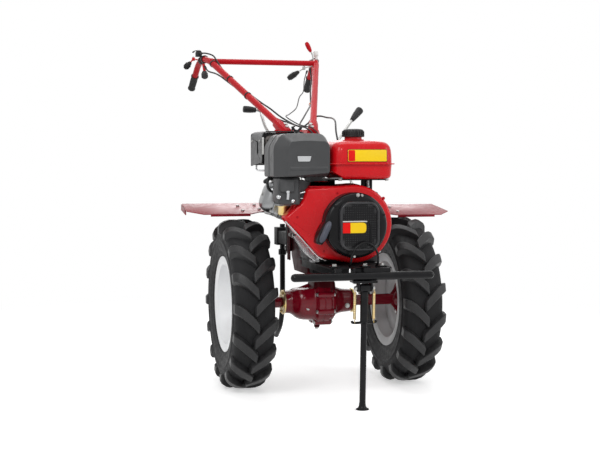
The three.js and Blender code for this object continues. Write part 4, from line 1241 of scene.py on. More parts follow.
def makeCylinder():
    front, rear = engineSet["front"], engineSet["rear"]
    bm = bmesh.new()
    half = engineSet["finThick"] / 2
    addAlongCylinder(bm, [(-half, 0.8), (-half + 0.6, 0), (half - 0.6, 0), (half, 0.8)], 63, front + 2,
                     rear - 2, 14)
    for vertex in bm.verts:
        vertex.co -= fromCrank(0, 0, 0)
    step = (fromCrank(1, 0, 0) - fromCrank(0, 0, 0)) * engineSet["finPitch"]
    start = Matrix.Translation(fromCrank(92, 0, 0))
    mesh = grow("fins", rowTree, "castAlloy", place=start, Shape=pattern("fin", bm), Count=engineSet["fins"],
                Step=tuple(step))
    settle("cylinder_fins", mesh, "castAlloy", sharp=30)
    bm = bmesh.new()
    addAlongCylinder(bm, [(60, 0), (238, 0)], 50, front + 14, rear - 14, 24)
    addAlongCylinder(bm, [(236, 1), (237, 0), (251, 0), (252, 1)], 62, front + 4, rear - 4, 16)
    piece("head_casting", bm, "castAlloy", bevel=1.0, replaces=["cylinder_head"])
    bm = bmesh.new()
    addAlongCylinder(bm, [(252.3, 0), (253, 0), (260, 0), (262, 1.5)], 64, front + 2, rear - 2, 24)
    addAlongCylinder(bm, [(261, 0), (272, 0.6), (281, 3), (288, 7), (294, 13), (298, 20), (300, 28)], 57,
                     front + 9, rear - 9, 40)
    piece("valve_cover", bm, "pressedSteel", bevel=0.8, replaces=["rocker_cover"], sharp=60)
    outward = fromCrank(1, 0, 0) - fromCrank(0, 0, 0)
    for y in (front + 16, rear - 16):
        for v in (-50, 50):
            bolt(fromCrank(262, y, v), outward, 0.8)
    bolt(fromCrank(299, (front + rear) / 2, 0), outward, 0.9)
    bm = bmesh.new()
    plug = fromCrank(214, front, -18)
    addTurned(bm, [(0, 0), (10, 0), (10, 5), (6, 8), (6, 22), (9, 24), (9, 44), (6, 48), (0, 48)], plug,
              Vector((-0.25, -1, -0.1)), 28)
    piece("plug_cap", bm, "gripRubber")


def makeShroud():
    rim = [(-236, 652), (-122, 528)] + bend((-122, 528), (-92, 512), (-47, 512))[1:]
    rim += arc(4, 639, 137, -1.9, 1.72, 40) + [(-80, 771)]
    rim += bend((-156, 767), (-164, 765), (-166, 757), 4) + bend((-168, 750), (-170, 730), (-186, 712))[1:]
    rim += bend((-232, 671), (-240, 667), (-239, 660), 3)
    bm = bmesh.new()
    y0, y1 = engineSet["shroudRear"], engineSet["shroudFront"]
    addFrontLoft(bm, rim, [(y0, 0), (y1 + 14, 0), (y1 + 9, 0.8), (y1 + 4.5, 2.8), (y1 + 1.5, 6), (y1, 10)])
    crease = engineSet["crease"]
    everything = bm.verts[:] + bm.edges[:] + bm.faces[:]
    bmesh.ops.bisect_plane(bm, geom=everything, plane_co=(crease, 0, 0), plane_no=(1, 0, 0))
    for vertex in bm.verts:
        if vertex.co.y < y0 - 20:
            vertex.co.y += max(0.0, crease - vertex.co.x) * engineSet["slant"]
    piece("cowling", bm, "redEnamel", replaces=["fan_shroud"], sharp=34)
    # Flat of the cowling behind the carburettor controls.
    side = [(-236, 664, 6), (-150, 640, 4), (-120, 700, 4), (-120, 768, 4), (-190, 768, 8), (-196, 712, 20)]
    levels = [(y0 - 2, 0), (y0 - 40, 0), (y0 - 43, 2)]
    lofted("cowling_side", "redEnamel", softOutline(side), levels, sharp=40)
    # Pressed edge bead and the fixing bolts round the cowling.
    edge = [(x, y0 - 8, z) for x, z in inset(rim, -1.5)]
    tube("cowling_bead", edge[2:52], 3.0, "redEnamel", sides=12)
    # Bright steel tube along the cowling's lower edge: a painted highlight for the bright edge line there.
    slope = [(-238, y0 - 50, 650), (-180, y0 - 60, 588), (-124, y0 - 62, 526), (-94, y0 - 62, 509)]
    tube("cowling_lip", smoothPath(slope, 6), 2.4, "stampedSteel", sides=12)
    for x, z in ((-106, 545), (108, 728), (-60, 748), (-196, 664)):
        place = Vector((x, y1 + 4 + max(0.0, crease - x) * engineSet["slant"], z))
        bolt(place, -yAxis, 0.7, finish="tubeEnamel")
    # Flange of the cylinder plate that shows above the cowling, in the brighter tube red as painted light
    # where the tank and air cleaner shade it.
    bm = bmesh.new()
    plate = [(-152, 769, 8), (-58, 769, 8), (-62, 780, 6), (-84, 789, 14), (-128, 789, 14), (-150, 780, 6)]
    addFrontLoft(bm, softOutline(plate), [(-350, 0), (-386, 0), (-391, 1.5), (-393, 4)])
    addTopLoft(bm, softOutline([(-156, -404, 8), (-52, -404, 8), (-52, -350, 8), (-156, -350, 8)]),
               [(767, 1), (768, 0), (771, 0), (772, 1)])
    piece("cowling_plate", bm, "tubeEnamel", bevel=0.8)
    bm = bmesh.new()
    strut = [(-196, 592, 4), (-186, 576, 6), (-154, 534, 10), (-118, 503, 8), (-100, 506, 6), (-100, 528, 6),
             (-128, 548, 14), (-150, 572, 10), (-182, 600, 5)]
    addFrontLoft(bm, softOutline(strut), [(-318, 0), (-330, 0), (-332, 1)])
    addBox(bm, -128, -100, -330, -296, 500, 508)
    piece("crankcase_bracket", bm, "stampedSteel", bevel=0.8)
    bolt((-118, -332, 520), -yAxis, 0.8)
    bolt((-142, -332, 556), -yAxis, 0.7)
    # Side of the crankcase, in the cast alloy darkened as painted shade.
    side = softOutline([(-172, 596, 6), (-158, 540, 6), (-120, 512, 6), (-100, 540, 6), (-120, 620, 6)])
    lofted("crankcase_side", "shadedDarkAlloy", side, [(-262, 0), (-312, 0), (-314, 2)], bevel=1.2)


def makeRecoil():
    x, z, wide, tall = engineSet["drum"]
    rear, front = engineSet["drumRear"], engineSet["drumFront"]
    drum = [(x + wide * math.cos(a), z + tall * math.sin(a)) for a in (math.tau * k / 96 for k in range(96))]
    levels = [(rear, 3), (rear - 1, 0), (rear - 10, 0), (rear - 12, 1.5), (rear - 14, 1.5), (rear - 16, 0),
              (front + 18, 0), (front + 10, 1.6), (front + 4, 5.5), (front + 1, 11), (front, 18)]
    lofted("recoil_drum", "blackEnamel", drum, levels, replaces=["recoil_cover"], sharp=32)
    frameLine = roundedRect(*engineSet["grille"], engineSet["grilleCorner"], 10)
    face = engineSet["grilleFront"]
    levels = [(front + 6, 0), (face + 5, 0), (face + 1.5, 1.2), (face, 3.4), (face, 6.5), (face + 1.5, 8.6),
              (face + 6, 9.4), (face + 19.8, 9.4)]
    lofted("recoil_frame", "guardGrey", frameLine, levels, sharp=50)
    makeGrilleSheet(face + 7.2)
    bm = bmesh.new()
    guide = [(-149, 576, 8), (-130, 569, 10), (-84, 640, 18), (-84, 666, 8), (-108, 666, 10), (-140, 616, 22)]
    levels = [(rear, 1), (rear - 1, 0), (front + 10, 0), (front + 4, 3), (front + 2, 7)]
    addFrontLoft(bm, softOutline(guide), levels)
    piece("rope_guide", bm, "blackEnamel", sharp=45)
    loop = smoothPath([(-36, front - 4, 496), (-37, front - 26, 512), (-34, front - 29, 536),
                       (-16, front - 30, 566), (14, front - 31, 580), (42, front - 30, 568),
                       (58, front - 29, 540), (60, front - 26, 512), (60, front - 4, 496)], 6)
    tube("drum_hoop", loop, 3.6, "blackEnamel", sides=14)
    for k in range(6):
        angle = math.radians(20 + 60 * k)
        place = (x + (wide - 9) * math.cos(angle), front + 3, z + (tall - 9) * math.sin(angle))
        bolt(place, -yAxis, 0.62, finish="blackEnamel" if k != 1 else "boltSteel")
    bolt((-5, front - 1, 742), -yAxis, 0.8)
    bolt((-17, front, 530), -yAxis, 0.55)
    spokes = [math.radians(a) for a in range(-150, 151, 20) if abs(a) > 60 or abs(a) < 30]
    bm = bmesh.new()
    for angle in spokes:
        turn = Matrix.Translation((x, 0, z)) @ Matrix.Rotation(angle, 4, "Y")
        web = [(86, front + 1), (104, front + 2), (110, front + 8), (86, front + 8)]
        addLoops(bm, [[turn @ Vector((r, y, w)) for r, y in web] for w in (-1.6, 1.6)])
    piece("recoil_ribs", bm, "blackEnamel")


def makeGrilleSheet(y):
    pitch, hole = engineSet["sheetPitch"], engineSet["hole"]
    x0, x1, z0, z1 = engineSet["grille"]
    columns, rows = int((x1 - x0 - 20) / pitch), int((z1 - z0 - 18) / pitch)
    half = pitch / 2
    square = [(half * u, half * v) for u, v in (
        (1, 0), (1, 1), (0, 1), (-1, 1), (-1, 0), (-1, -1), (0, -1), (1, -1))]
    ring = [(hole * math.cos(a), hole * math.sin(a)) for a in (math.tau * k / 8 for k in range(8))]
    bm = bmesh.new()
    loops = [[(u, v, level) for u, v in line]
             for line, level in ((square, 0), (square, 1.2), (ring, 1.2), (ring, 0))]
    addLoops(bm, loops, closed=True)
    place = Matrix.Translation(((x0 + x1) / 2, y, (z0 + z1) / 2)) @ Matrix.Rotation(math.pi / 2, 4, "X")
    mesh = grow("sheet", sheetTree, "blackEnamel", place=place, Shape=pattern("cell", bm),
                Width=(columns - 1) * pitch, Height=(rows - 1) * pitch, Columns=columns, Rows=rows,
                Corner=26.0)
    settle("recoil_sheet", mesh, "blackEnamel", sharp=30)
    lofted("recoil_fan", "guardGrey", roundedRect(x0 + 8, x1 - 8, z0 + 8, z1 - 8, 28),
           [(y + 3.2, 0), (y + 1.2, 0)])
    # Bright trim and a plain two-colour plate.
    trim = [(-66, y - 3, 652), (-20, y - 3, 652), (12, y - 3, 652), (24, y - 3, 651)]
    tube("recoil_trim", smoothPath(trim, 6), 2.0, "paleKnob", sides=12)
    brace = [(23, y - 3, 651), (33, y - 3, 646), (37, y - 3, 632), (37, y - 3, 600), (35, y - 3, 572)]
    tube("recoil_brace", smoothPath(brace, 6), 2.2, "blackEnamel", sides=12)
    for name, finish, corners in (
        ("red", "labelRed", [(-65, 612, 2), (-36, 612, 0), (-36, 648, 0), (-65, 648, 2)]),
        ("yellow", "labelYellow", [(-36, 612, 0), (21, 612, 14), (21, 648, 14), (-36, 648, 0)])):
        lofted("recoil_plate_" + name, finish, softOutline(corners),
               [(y - 1.4, 0), (y - 3.0, 0), (y - 3.4, 0.4)])


def makeStarterHandle():
    y = engineSet["drumFront"] - 14
    top, low = (Vector((x, y, z)) for x, z in engineSet["pull"])
    bm = bmesh.new()
    along = (low - top) / 10
    bow = [0, 1.5, 2.6, 3.2, 3.5, 3.6, 3.5, 3.2, 2.6, 1.5, 0]
    radii = [5, 9.5, 11, 11.4, 11, 10.6, 11, 11.4, 11, 9.5, 5]
    addSweep(bm, [top + along * k - yAxis * bow[k] for k in range(11)], radii, 28, flat=0.85, up=yAxis)
    piece("pull_grip", bm, "handleGrey", replaces=["starter_handle"], sharp=60)
    bm = bmesh.new()
    centre = (top + low) / 2
    addTurned(bm, [(0, 0), (6.6, 0), (6.6, 3), (9, 5), (9, 8), (0, 8)], centre + yAxis * 4, yAxis, 28)
    for k in range(3):
        addTurned(bm, [(0, k * 1.6 + 8), (6.5, k * 1.6 + 8.2), (6.5, k * 1.6 + 9), (0, k * 1.6 + 9.4)],
                  centre + yAxis * 1, yAxis, 24)
    piece("pull_grip_collar", bm, "gripRubber")


makeCrankcase()
makeCylinder()
makeShroud()
makeRecoil()
makeStarterHandle()
refined("tank_bracket", "tank_cradle", "frameBlack", bevel=1.0)
print("engine done")


# Fuel tank: two pressed halves on a seam, filler neck and ribbed cap.

tankSet = {
    "left": 141, "right": -81, "front": -442, "rear": -196, "corner": 36,
    "levels": [(796, 18), (798, 9), (802, 4), (810, 2), (847, 0), (851, 0), (880, 0.8), (897, 2.4), (908, 5),
               (916, 9), (921.5, 14), (925.5, 21), (929, 32), (932, 48), (934.5, 66), (936, 86)],
    "slopeFrom": -41, "slope": 0.67, "cap": (27, -320, 944.3, 973), "capRadius": 37.6, "capRibs": 22,
    "label": (-30, 114, 856, 900), "leanFrom": 862, "lean": 0.06,
    "bolts": [(120, -420), (120, -218), (-50, -218), (-50, -420)],
}


def makeTank():
    left, right, front, rear = (tankSet[key] for key in ("left", "right", "front", "rear"))
    outline = roundedRect(right, left, front, rear, tankSet["corner"], 10)
    bm = bmesh.new()
    loops = []
    for z, amount in tankSet["levels"]:
        corner = min(tankSet["corner"], (left - right) / 2 - amount - 1)
        loops.append([(x, y, z) for x, y in roundedRect(right + amount, left - amount, front + amount,
                                                         rear - amount, corner, 10)])
    addLoops(bm, loops)
    for vertex in bm.verts:
        if vertex.co.x < tankSet["slopeFrom"]:
            lowest = 799 + (tankSet["slopeFrom"] - vertex.co.x) * tankSet["slope"]
            vertex.co.z = max(vertex.co.z, lowest)
    piece("tank_shell", bm, "redEnamel", replaces=["fuel_tank"], sharp=50)
    bm = bmesh.new()
    addTopLoft(bm, outline, [(846.8, -7), (847.2, -9.6), (848, -10.4), (850, -10.4), (850.8, -9.6),
                             (851.2, -7), (851.2, 2), (846.8, 2)], closed=True)
    piece("tank_seam", bm, "redEnamel", sharp=50)
    x, y, low, high = tankSet["cap"]
    neck = [(0, 0), (44, 0), (42, 4), (35, 8), (31.5, 11), (31, 13), (31, 27), (0, 27)]
    turned("tank_neck", "redEnamel", neck, (x, y, low - 27.5), zAxis, 72, sharp=50)
    bm = bmesh.new()
    radius = tankSet["capRadius"]
    addTurned(bm, [(0, low), (radius + 1.5, low), (radius + 2.5, low + 1.5), (radius + 2, low + 4),
                   (radius, low + 5), (radius - 0.6, high - 8), (radius - 3, high - 3),
                   (radius - 8, high - 1), (radius - 18, high), (radius - 19, high - 1.6),
                   (radius - 24, high - 1.6), (radius - 25, high), (0, high)],
              (x, y, 0), zAxis, 96)
    piece("cap_body", bm, "satinBlack", replaces=["fuel_cap"], sharp=40)
    rib = bmesh.new()
    addLoops(rib, [[(radius - 3, w, low + 3), (radius + 2.6, w * 0.8, low + 3),
                    (radius + 2.2, w * 0.8, high - 9), (radius - 5, w, high - 2.4)] for w in (-2.6, 2.6)])
    count = tankSet["capRibs"]
    mesh = grow("capRibs", ringTree, "satinBlack", place=Matrix.Translation((x, y, 0)),
                Shape=pattern("capRib", rib), Count=count, Step=math.tau / count, Axis=(0, 0, 1),
                Centre=(0, 0, 0))
    settle("cap_ribs", mesh, "satinBlack", bevel=0.7)
    x0, x1, z0, z1 = tankSet["label"]
    panel, end = roundedRect(x0, x1, z0, z1, 5), roundedRect(x0 + 3, x0 + 27, z0 + 3, z1 - 3, 3)
    for name, finish, shape, levels in (
        ("border", "satinBlack", panel, [(1.5, 0), (-0.6, 0), (-0.9, 0.4)]),
        ("face", "labelYellow", panel, [(1.5, 1.6), (-1.1, 1.6), (-1.4, 2.0)]),
        ("end", "labelRed", end, [(1.5, 0), (-1.7, 0), (-1.9, 0.4)])):
        bm = bmesh.new()
        addFrontLoft(bm, shape, [(front + depth, edge) for depth, edge in levels])
        for vertex in bm.verts:
            vertex.co.y += max(0.0, vertex.co.z - tankSet["leanFrom"]) * tankSet["lean"]
        piece("tank_label_" + name, bm, finish)
    for x, y in tankSet["bolts"]:
        bolt((x, y, tankSet["levels"][0][0]), -zAxis, 0.9)
    turned("fuel_tap", "castAlloy", [(0, 0), (11, 0), (11, 6), (6, 9), (6, 26), (8, 28), (8, 34), (0, 34)],
           (88, -300, 797), -zAxis, 28)


# Air cleaner: moulded cover with a cut corner, over the intake box and the carburettor.

cleanerSet = {
    # the cover's outline where it is widest, and the smaller one of its front face, corner by corner
    "wide": [(-283, 803, 8), (-91, 803, 8), (-91, 934, 12), (-110, 954, 12), (-192, 957, 30), (-256, 951, 14),
             (-283, 910, 14)],
    "face": [(-243, 806, 6), (-95, 818, 8), (-95, 914, 8), (-107, 927, 8), (-180, 930, 20), (-234, 926, 8),
             (-243, 906, 8)],
    "rear": -250, "turn": -396, "front": -445, "middle": (-188, 880), "badge": (-213, -159, 856, 878),
    "wingNut": (-186, -340, 955),
}


def makeCleaner():
    wide, face = (softOutline(cleanerSet[key], 5) for key in ("wide", "face"))
    rear, turn, front = (cleanerSet[key] for key in ("rear", "turn", "front"))
    middle = Vector(cleanerSet["middle"])

    def level(outline, y, share=1.0):
        points = [middle + (Vector(p) - middle) * share for p in outline]
        return [(p.x, y, p.y) for p in points]

    bm = bmesh.new()
    rings = addLoops(bm, [level(wide, rear, 0.94), level(wide, rear - 5), level(wide, turn),
                          level(face, front), level(face, front - 1.2, 0.97)], capped=False)
    for ring, y in ((rings[0], rear), (rings[-1], front - 1.2)):
        hub = bm.verts.new((middle.x, y, middle.y))
        for i in range(len(ring)):
            bm.faces.new((ring[i], ring[(i + 1) % len(ring)], hub))
    piece("cleaner_cover", bm, "coverPlastic", replaces=["air_cleaner_cover"], bevel=1.8, angle=16)
    bm = bmesh.new()
    addFrontLoft(bm, wide, [(-322, 0.5), (-323, -1.4), (-327, -1.4), (-328, 0.5), (-328, 4), (-322, 4)], True)
    addFrontLoft(bm, softOutline([(-236, 826, 6), (-102, 828, 6), (-102, 842, 6), (-236, 840, 6)]),
                 [(front + 6, 0), (front - 1.4, 0), (front - 2.4, 1)])
    piece("cleaner_seam", bm, "coverPlastic", sharp=45)
    x0, x1, z0, z1 = cleanerSet["badge"]
    for name, finish, edge, depth in (("border", "satinBlack", 0, 1.8), ("face", "stampedSteel", 1.8, 2.4)):
        bm = bmesh.new()
        panel = softOutline([(x0 + 3, z0, 5), (x1 - 6, z0, 6), (x1, z1, 5), (x0, z1, 5)])
        addFrontLoft(bm, panel, [(front + 3, edge), (front - depth, edge)])
        piece("cleaner_badge_" + name, bm, finish)
    bm = bmesh.new()
    x, y, z = cleanerSet["wingNut"]
    addTurned(bm, [(0, 0), (11, 0), (11, 2), (6.5, 4), (6.5, 12), (5, 14), (0, 14)], (x, y, z), zAxis, 32)
    for side in (1, -1):
        wing = [(x + side * u, z + v) for u, v in ((4, 6), (18, 15), (20, 24), (14, 26), (4, 14))]
        addLoops(bm, [[(u, y + w, v) for u, v in wing] for w in (-2, 2)])
    piece("cleaner_wing_nut", bm, "satinBlack", bevel=0.8)


def makeIntake():
    bm = bmesh.new()
    box = softOutline([(-270, 708, 16), (-188, 708, 8), (-188, 802.5, 4), (-270, 802.5, 10)])
    addFrontLoft(bm, box, [(-330, 1), (-331, 0), (-394, 0), (-399, 2), (-402, 7)])
    addFrontLoft(bm, softOutline([(-262, 752, 5), (-212, 752, 5), (-212, 797, 5), (-262, 797, 5)]),
                 [(-396, 0), (-408, 0), (-411, 2.5)])
    addFrontLoft(bm, softOutline([(-206, 716, 5), (-150, 712, 6), (-146, 790, 8), (-204, 796, 5)]),
                 [(-330, 0), (-372, 0), (-376, 3)])
    addBox(bm, -250, -190, -336, -270.5, 742, 782)
    piece("intake_box", bm, "coverPlastic", bevel=1.4, replaces=["intake_housing"])
    for x, z, radius in ((-266, 735, 8), (-216, 721, 7.5)):
        turned(f"intake_knob_{int(-x)}", "stampedSteel",
               [(0, 0), (radius, 0), (radius, 6), (radius - 1, 9), (radius * 0.5, 11), (0, 11.5)],
               (x, -400, z), -yAxis, 36)
    bm = bmesh.new()
    lever = [(-240, 726), (-231, 726), (-229, 750), (-238, 750)]
    addLoops(bm, [[(x, y, z) for x, z in lever] for y in (-406, -409)])
    for start, end, radius, sides in (
        ((-235, -402, 752), (-235, -412, 752), 6, 28), ((-204, -378, 744), (-168, -390, 752), 3.2, 16),
        ((-196, -374, 732), (-160, -380, 726), 3.2, 16)):
        addRod(bm, start, end, radius, sides)
    piece("choke_links", bm, "stampedSteel", bevel=0.6)
    bm = bmesh.new()
    addRod(bm, (-190, -376, 736), (-190, -388, 736), 9, 28)
    addBox(bm, -196, -150, -378, -372, 700, 712)
    addRod(bm, (-170, -372, 718), (-170, -386, 718), 8, 28)
    piece("governor_arm", bm, "satinBlack", bevel=0.8)


def makeCarburettor():
    bm = bmesh.new()
    addFrontLoft(bm, softOutline([(-250, 700, 6), (-176, 700, 6), (-176, 738, 8), (-250, 738, 8)]),
                 [(-272, 0), (-322, 0), (-326, 3)])
    addRod(bm, (-250, -300, 719), (-262, -300, 719), 9, 28)
    addRod(bm, (-190, -320, 726), (-190, -352, 726), 11, 28)
    piece("carburettor_body", bm, "castAlloy", bevel=1.2)
    bowl = [(0, 0), (6, 0), (6, 3), (17, 4), (21, 7), (23, 12), (23, 35), (25, 37), (25, 41), (23, 45),
            (0, 45)]
    place = (-222, -299.5, 661)
    turned("float_bowl", "yellowZinc", bowl, place, zAxis, 56, replaces=["carburettor"], sharp=45)
    bolt(place, -zAxis, 0.8, finish="yellowZinc")
    hose = smoothPath([(-240, -266, 792), (-258, -265, 796), (-273, -262, 793), (-280, -256, 788),
                       (-279, -246, 784), (-270, -238, 783)], 8)
    tube("breather_tube", hose, 6, "gripRubber", replaces=["breather_hose"])
    loop = smoothPath([(-262, -290, 806), (-276, -294, 800), (-281, -296, 784), (-278, -292, 764),
                       (-262, -284, 750), (-240, -278, 744)], 8)
    tube("breather_loop", loop, 5, "gripRubber")


# Exhaust: silencer can inside a pressed guard with a slot and an open front.

exhaustSet = {"left": -112, "right": -276, "front": -184, "rear": 4, "bottom": 838, "top": 967, "wall": 2.2}


def makeExhaust():
    left, right, front, rear, bottom, top, wall = exhaustSet.values()
    bm = bmesh.new()
    can = softOutline([(right + 12, bottom + 10, 30), (left - 12, bottom + 10, 30), (left - 12, top - 12, 30),
                       (right + 12, top - 12, 30)], 8)
    addFrontLoft(bm, can, [(rear - 10, 8), (rear - 13, 2), (rear - 16, 0), (rear - 80, 0), (rear - 82, -2.5),
                           (rear - 86, -2.5), (rear - 88, 0), (front + 16, 0), (front + 12, 3),
                           (front + 10, 9)])
    piece("silencer", bm, "hotSteel", replaces=["muffler"], sharp=40)
    elbow = smoothPath([(-196, -70, bottom + 30), (-196, -70, 800), (-198, -84, 764), (-200, -112, 750),
                        (-200, -135, 750)], 8)
    tube("exhaust_elbow", elbow, 19, "hotSteel", sides=32)
    bm = bmesh.new()
    addPrism(bm, roundedRect(-232, -168, 722, 778, 14), "y", -146, -138)
    piece("exhaust_flange", bm, "hotSteel", bevel=1.0)
    for x in (-224, -176):
        bolt((x, -138, 750), yAxis, 0.8)
    # Side plate with its slot, top, back and the inner side, one pressing
    bm = bmesh.new()
    outer = softOutline([(front, bottom + 16, 12), (rear, bottom, 8), (rear, top - 22, 10),
                         (front, top - 22, 10)], 5)
    slot = roundedRect(front + 62, front + 84, bottom + 46, bottom + 92, 6, 5)[:len(outer)]
    addLoops(bm, [[(x, y, z) for y, z in line] for line, x in (
        (outer, right), (slot, right), (slot, right + wall), (outer, right + wall))], closed=True)
    crown = [(right, top - 24), (right + 1, top - 16), (right + 6, top - 6), (right + 16, top - 1),
             (right + 28, top), (left - 24, top), (left - 10, top - 3), (left - 2, top - 12),
             (left, top - 24), (left, bottom + 10), (left - wall, bottom + 10), (left - wall, top - 24),
             (left - 4, top - 14), (left - 11, top - 6), (left - 24, top - wall), (right + 28, top - wall),
             (right + 17, top - 3.4), (right + 8, top - 8), (right + 3.2, top - 17), (right + wall, top - 24)]
    addPrism(bm, list(reversed(crown)), "y", front, rear)
    addPrism(bm, roundedRect(right, left, bottom + 4, top - 4, 12), "y", rear - wall, rear)
    piece("exhaust_guard", bm, "coverPlastic", replaces=["muffler_guard"], sharp=40)
    # A pale strip painted as the highlight on the guard's front edge, the dark baffle and louvre in the
    # opening, and the wire hoop under it
    bm = bmesh.new()
    addBox(bm, right + 4, left - 4, front + 17, front + 20, bottom + 12, top - 6)
    piece("guard_baffle", bm, "satinBlack")
    bm = bmesh.new()
    # Pale strip on the front edge: a painted highlight.
    addBox(bm, right + 0.5, right + 7, front - 4, front + 1, bottom + 44, bottom + 106)
    piece("guard_edge", bm, "paleKnob", bevel=0.8)
    bm = bmesh.new()
    addFrontLoft(bm, roundedRect(right + 20, left - 20, bottom + 14, bottom + 46, 4),
                 [(front + 12, 0), (front + 2, 0)])
    for k in range(4):
        addBox(bm, right + 20, left - 20, front + 6, front + 16, bottom + 56 + 13 * k, bottom + 59 + 13 * k)
    piece("guard_louvre", bm, "satinBlack", bevel=0.6)
    hoop = smoothPath([(right + 10, -52, bottom + 6), (right + 8, -54, bottom - 8),
                       (right + 9, -64, bottom - 13), (right + 14, -165, bottom - 14),
                       (right + 22, -181, bottom - 12), (right + 32, -184, bottom + 6)], 6)
    tube("guard_hoop", hoop, 3.4, "stampedSteel", sides=14)
    for y in (front + 30, rear - 30):
        bolt((right, y, top - 36), -xAxis, 0.6)
    boltCircle(((left + right) / 2, rear, (bottom + top) / 2), yAxis, 48, 4, 0.7, 0.5)
    slotShape = bmesh.new()
    addPrism(slotShape, roundedRect(-52, 52, -3, 3, 2.8), "y", rear - 0.6, rear + 0.8)
    mesh = grow("louvres", rowTree, "satinBlack",
                place=Matrix.Translation(((left + right) / 2, 0, bottom + 28)),
                Shape=pattern("slot", slotShape), Count=7, Step=(0.0, 0.0, 13.0))
    settle("guard_rear_louvres", mesh, "satinBlack")


makeTank()
makeCleaner()
makeIntake()
makeCarburettor()
makeExhaust()
print("tank, air cleaner and exhaust done")


# Handlebar: two bent tubes on a hinged yoke, crossbar, grips and hand levers.

barSet = {
    "foot": (56, 334, 977), "corner": (252, 999, 1311), "afterCorner": (262, 1060, 1318),
    "gripStart": (276, 1172, 1284), "gripEnd": (285, 1288, 1194), "radius": 14, "crossRadius": 12.5,
    "pivot": (250, 905), "gripRibs": 18,
    # along the tube from its foot: reach, half width and half height
    "sole": [(-12, 13, 7), (-9, 19, 12), (0, 21, 15.6), (60, 20, 15.6), (92, 15.6, 15)],
}


def mirrored(point, sign):
    return Vector((sign * point[0], point[1], point[2]))


def armPath(sign):
    foot, corner, after, start, end = (mirrored(barSet[key], sign) for key in (
        "foot", "corner", "afterCorner", "gripStart", "gripEnd"))
    before = corner.lerp(foot, 0.06)
    intoGrip = start + (start - end) * 0.38
    path = [foot.lerp(before, k / 12) for k in range(12)]
    path += [Vector(p) for p in bend(before, corner, after, 14)[:-1]]
    path += [Vector(p) for p in bend(after, intoGrip, start, 16)]
    return path + [start.lerp(end, 0.9)]


def makeArm(name, sign):
    tube("bar_tube_" + name, armPath(sign), barSet["radius"], "tubeEnamel", "handlebar", sides=36,
         replaces=["handlebar_arm_" + name], sharp=50)
    start, end = mirrored(barSet["gripStart"], sign), mirrored(barSet["gripEnd"], sign)
    length = (end - start).length
    first = length * 0.36
    profile = [(14, first), (17.5, first), (18.5, first + 1.4), (18.5, first + 4), (17, first + 6)]
    pitch = (length - first - 20) / barSet["gripRibs"]
    for k in range(barSet["gripRibs"]):
        near = first + 7 + k * pitch
        swell = 15.6 + 1.1 * math.sin(math.pi * (k + 0.5) / barSet["gripRibs"])
        profile += [(swell - 0.9, near), (swell, near + pitch * 0.25), (swell, near + pitch * 0.7)]
    profile += [(15.8, length - 11), (17.6, length - 9), (17.6, length - 4), (14.6, length - 1), (0, length)]
    turned("grip_sleeve_" + name, "gripRubber", profile, start, end - start, 40, body="handlebar",
           replaces=["grip_" + name], sharp=50)


def makeYoke():
    refined("handlebar_yoke", "yoke_plate", "tubeEnamel", "handlebar", bevel=1.4)
    refined("handlebar_column", "column_bracket", "frameBlack", bevel=2.0)
    y, z = barSet["pivot"]
    for side in (1, -1):
        bolt((side * 48, y, z), xAxis * side, 1.6)
    foot, corner = Vector(barSet["foot"]), Vector(barSet["corner"])
    slope = math.atan2(corner.z - foot.z, corner.y - foot.y)
    upward = Vector((0, -math.sin(slope), math.cos(slope)))
    for side in (1, -1):
        near, far = mirrored(foot, side), mirrored(corner, side)
        for reach in (8, 34):
            place = near + Vector((0, math.cos(slope), math.sin(slope))) * reach
            bolt(place - Vector((side * 3, 0, 0)) + upward * 13.4, upward, 1.1, body="handlebar")
        # Welded sole that the tube's foot sits in
        lengthwise = (far - near).normalized()
        across = lengthwise.cross(upward).normalized()
        rise = across.cross(lengthwise)
        bm = bmesh.new()
        addLoops(bm, [[near + lengthwise * reach + across * u * wide + rise * v * tall
                       for u, v in ((-1, -1), (1, -1), (1, 0.4), (0.55, 1), (-0.55, 1), (-1, 0.4))]
                      for reach, wide, tall in barSet["sole"]])
        piece("bar_shoe_" + ("left" if side > 0 else "right"), bm, "tubeEnamel", "handlebar", bevel=1.6)
    for x in (-18, 18):
        bolt((x, 104, 772), Vector((0, 0.2, 1)), 0.9)


def makeCrossbar():
    x, y, z = barSet["corner"]
    start, end = Vector((-x + 4, y - 22, z - 8)), Vector((x - 4, y - 22, z - 8))
    bm = bmesh.new()
    addRod(bm, start, end, barSet["crossRadius"], 36)
    for side in (1, -1):
        weld = Vector((side * (x - 14), y - 22, z - 8))
        addTurned(bm, [(12, 0), (15.5, 3), (14, 7), (15, 12), (12, 14)], weld, xAxis * side, 30)
    piece("bar_crosstube", bm, "tubeEnamel", "handlebar", replaces=["handlebar_crossbar"], sharp=40)


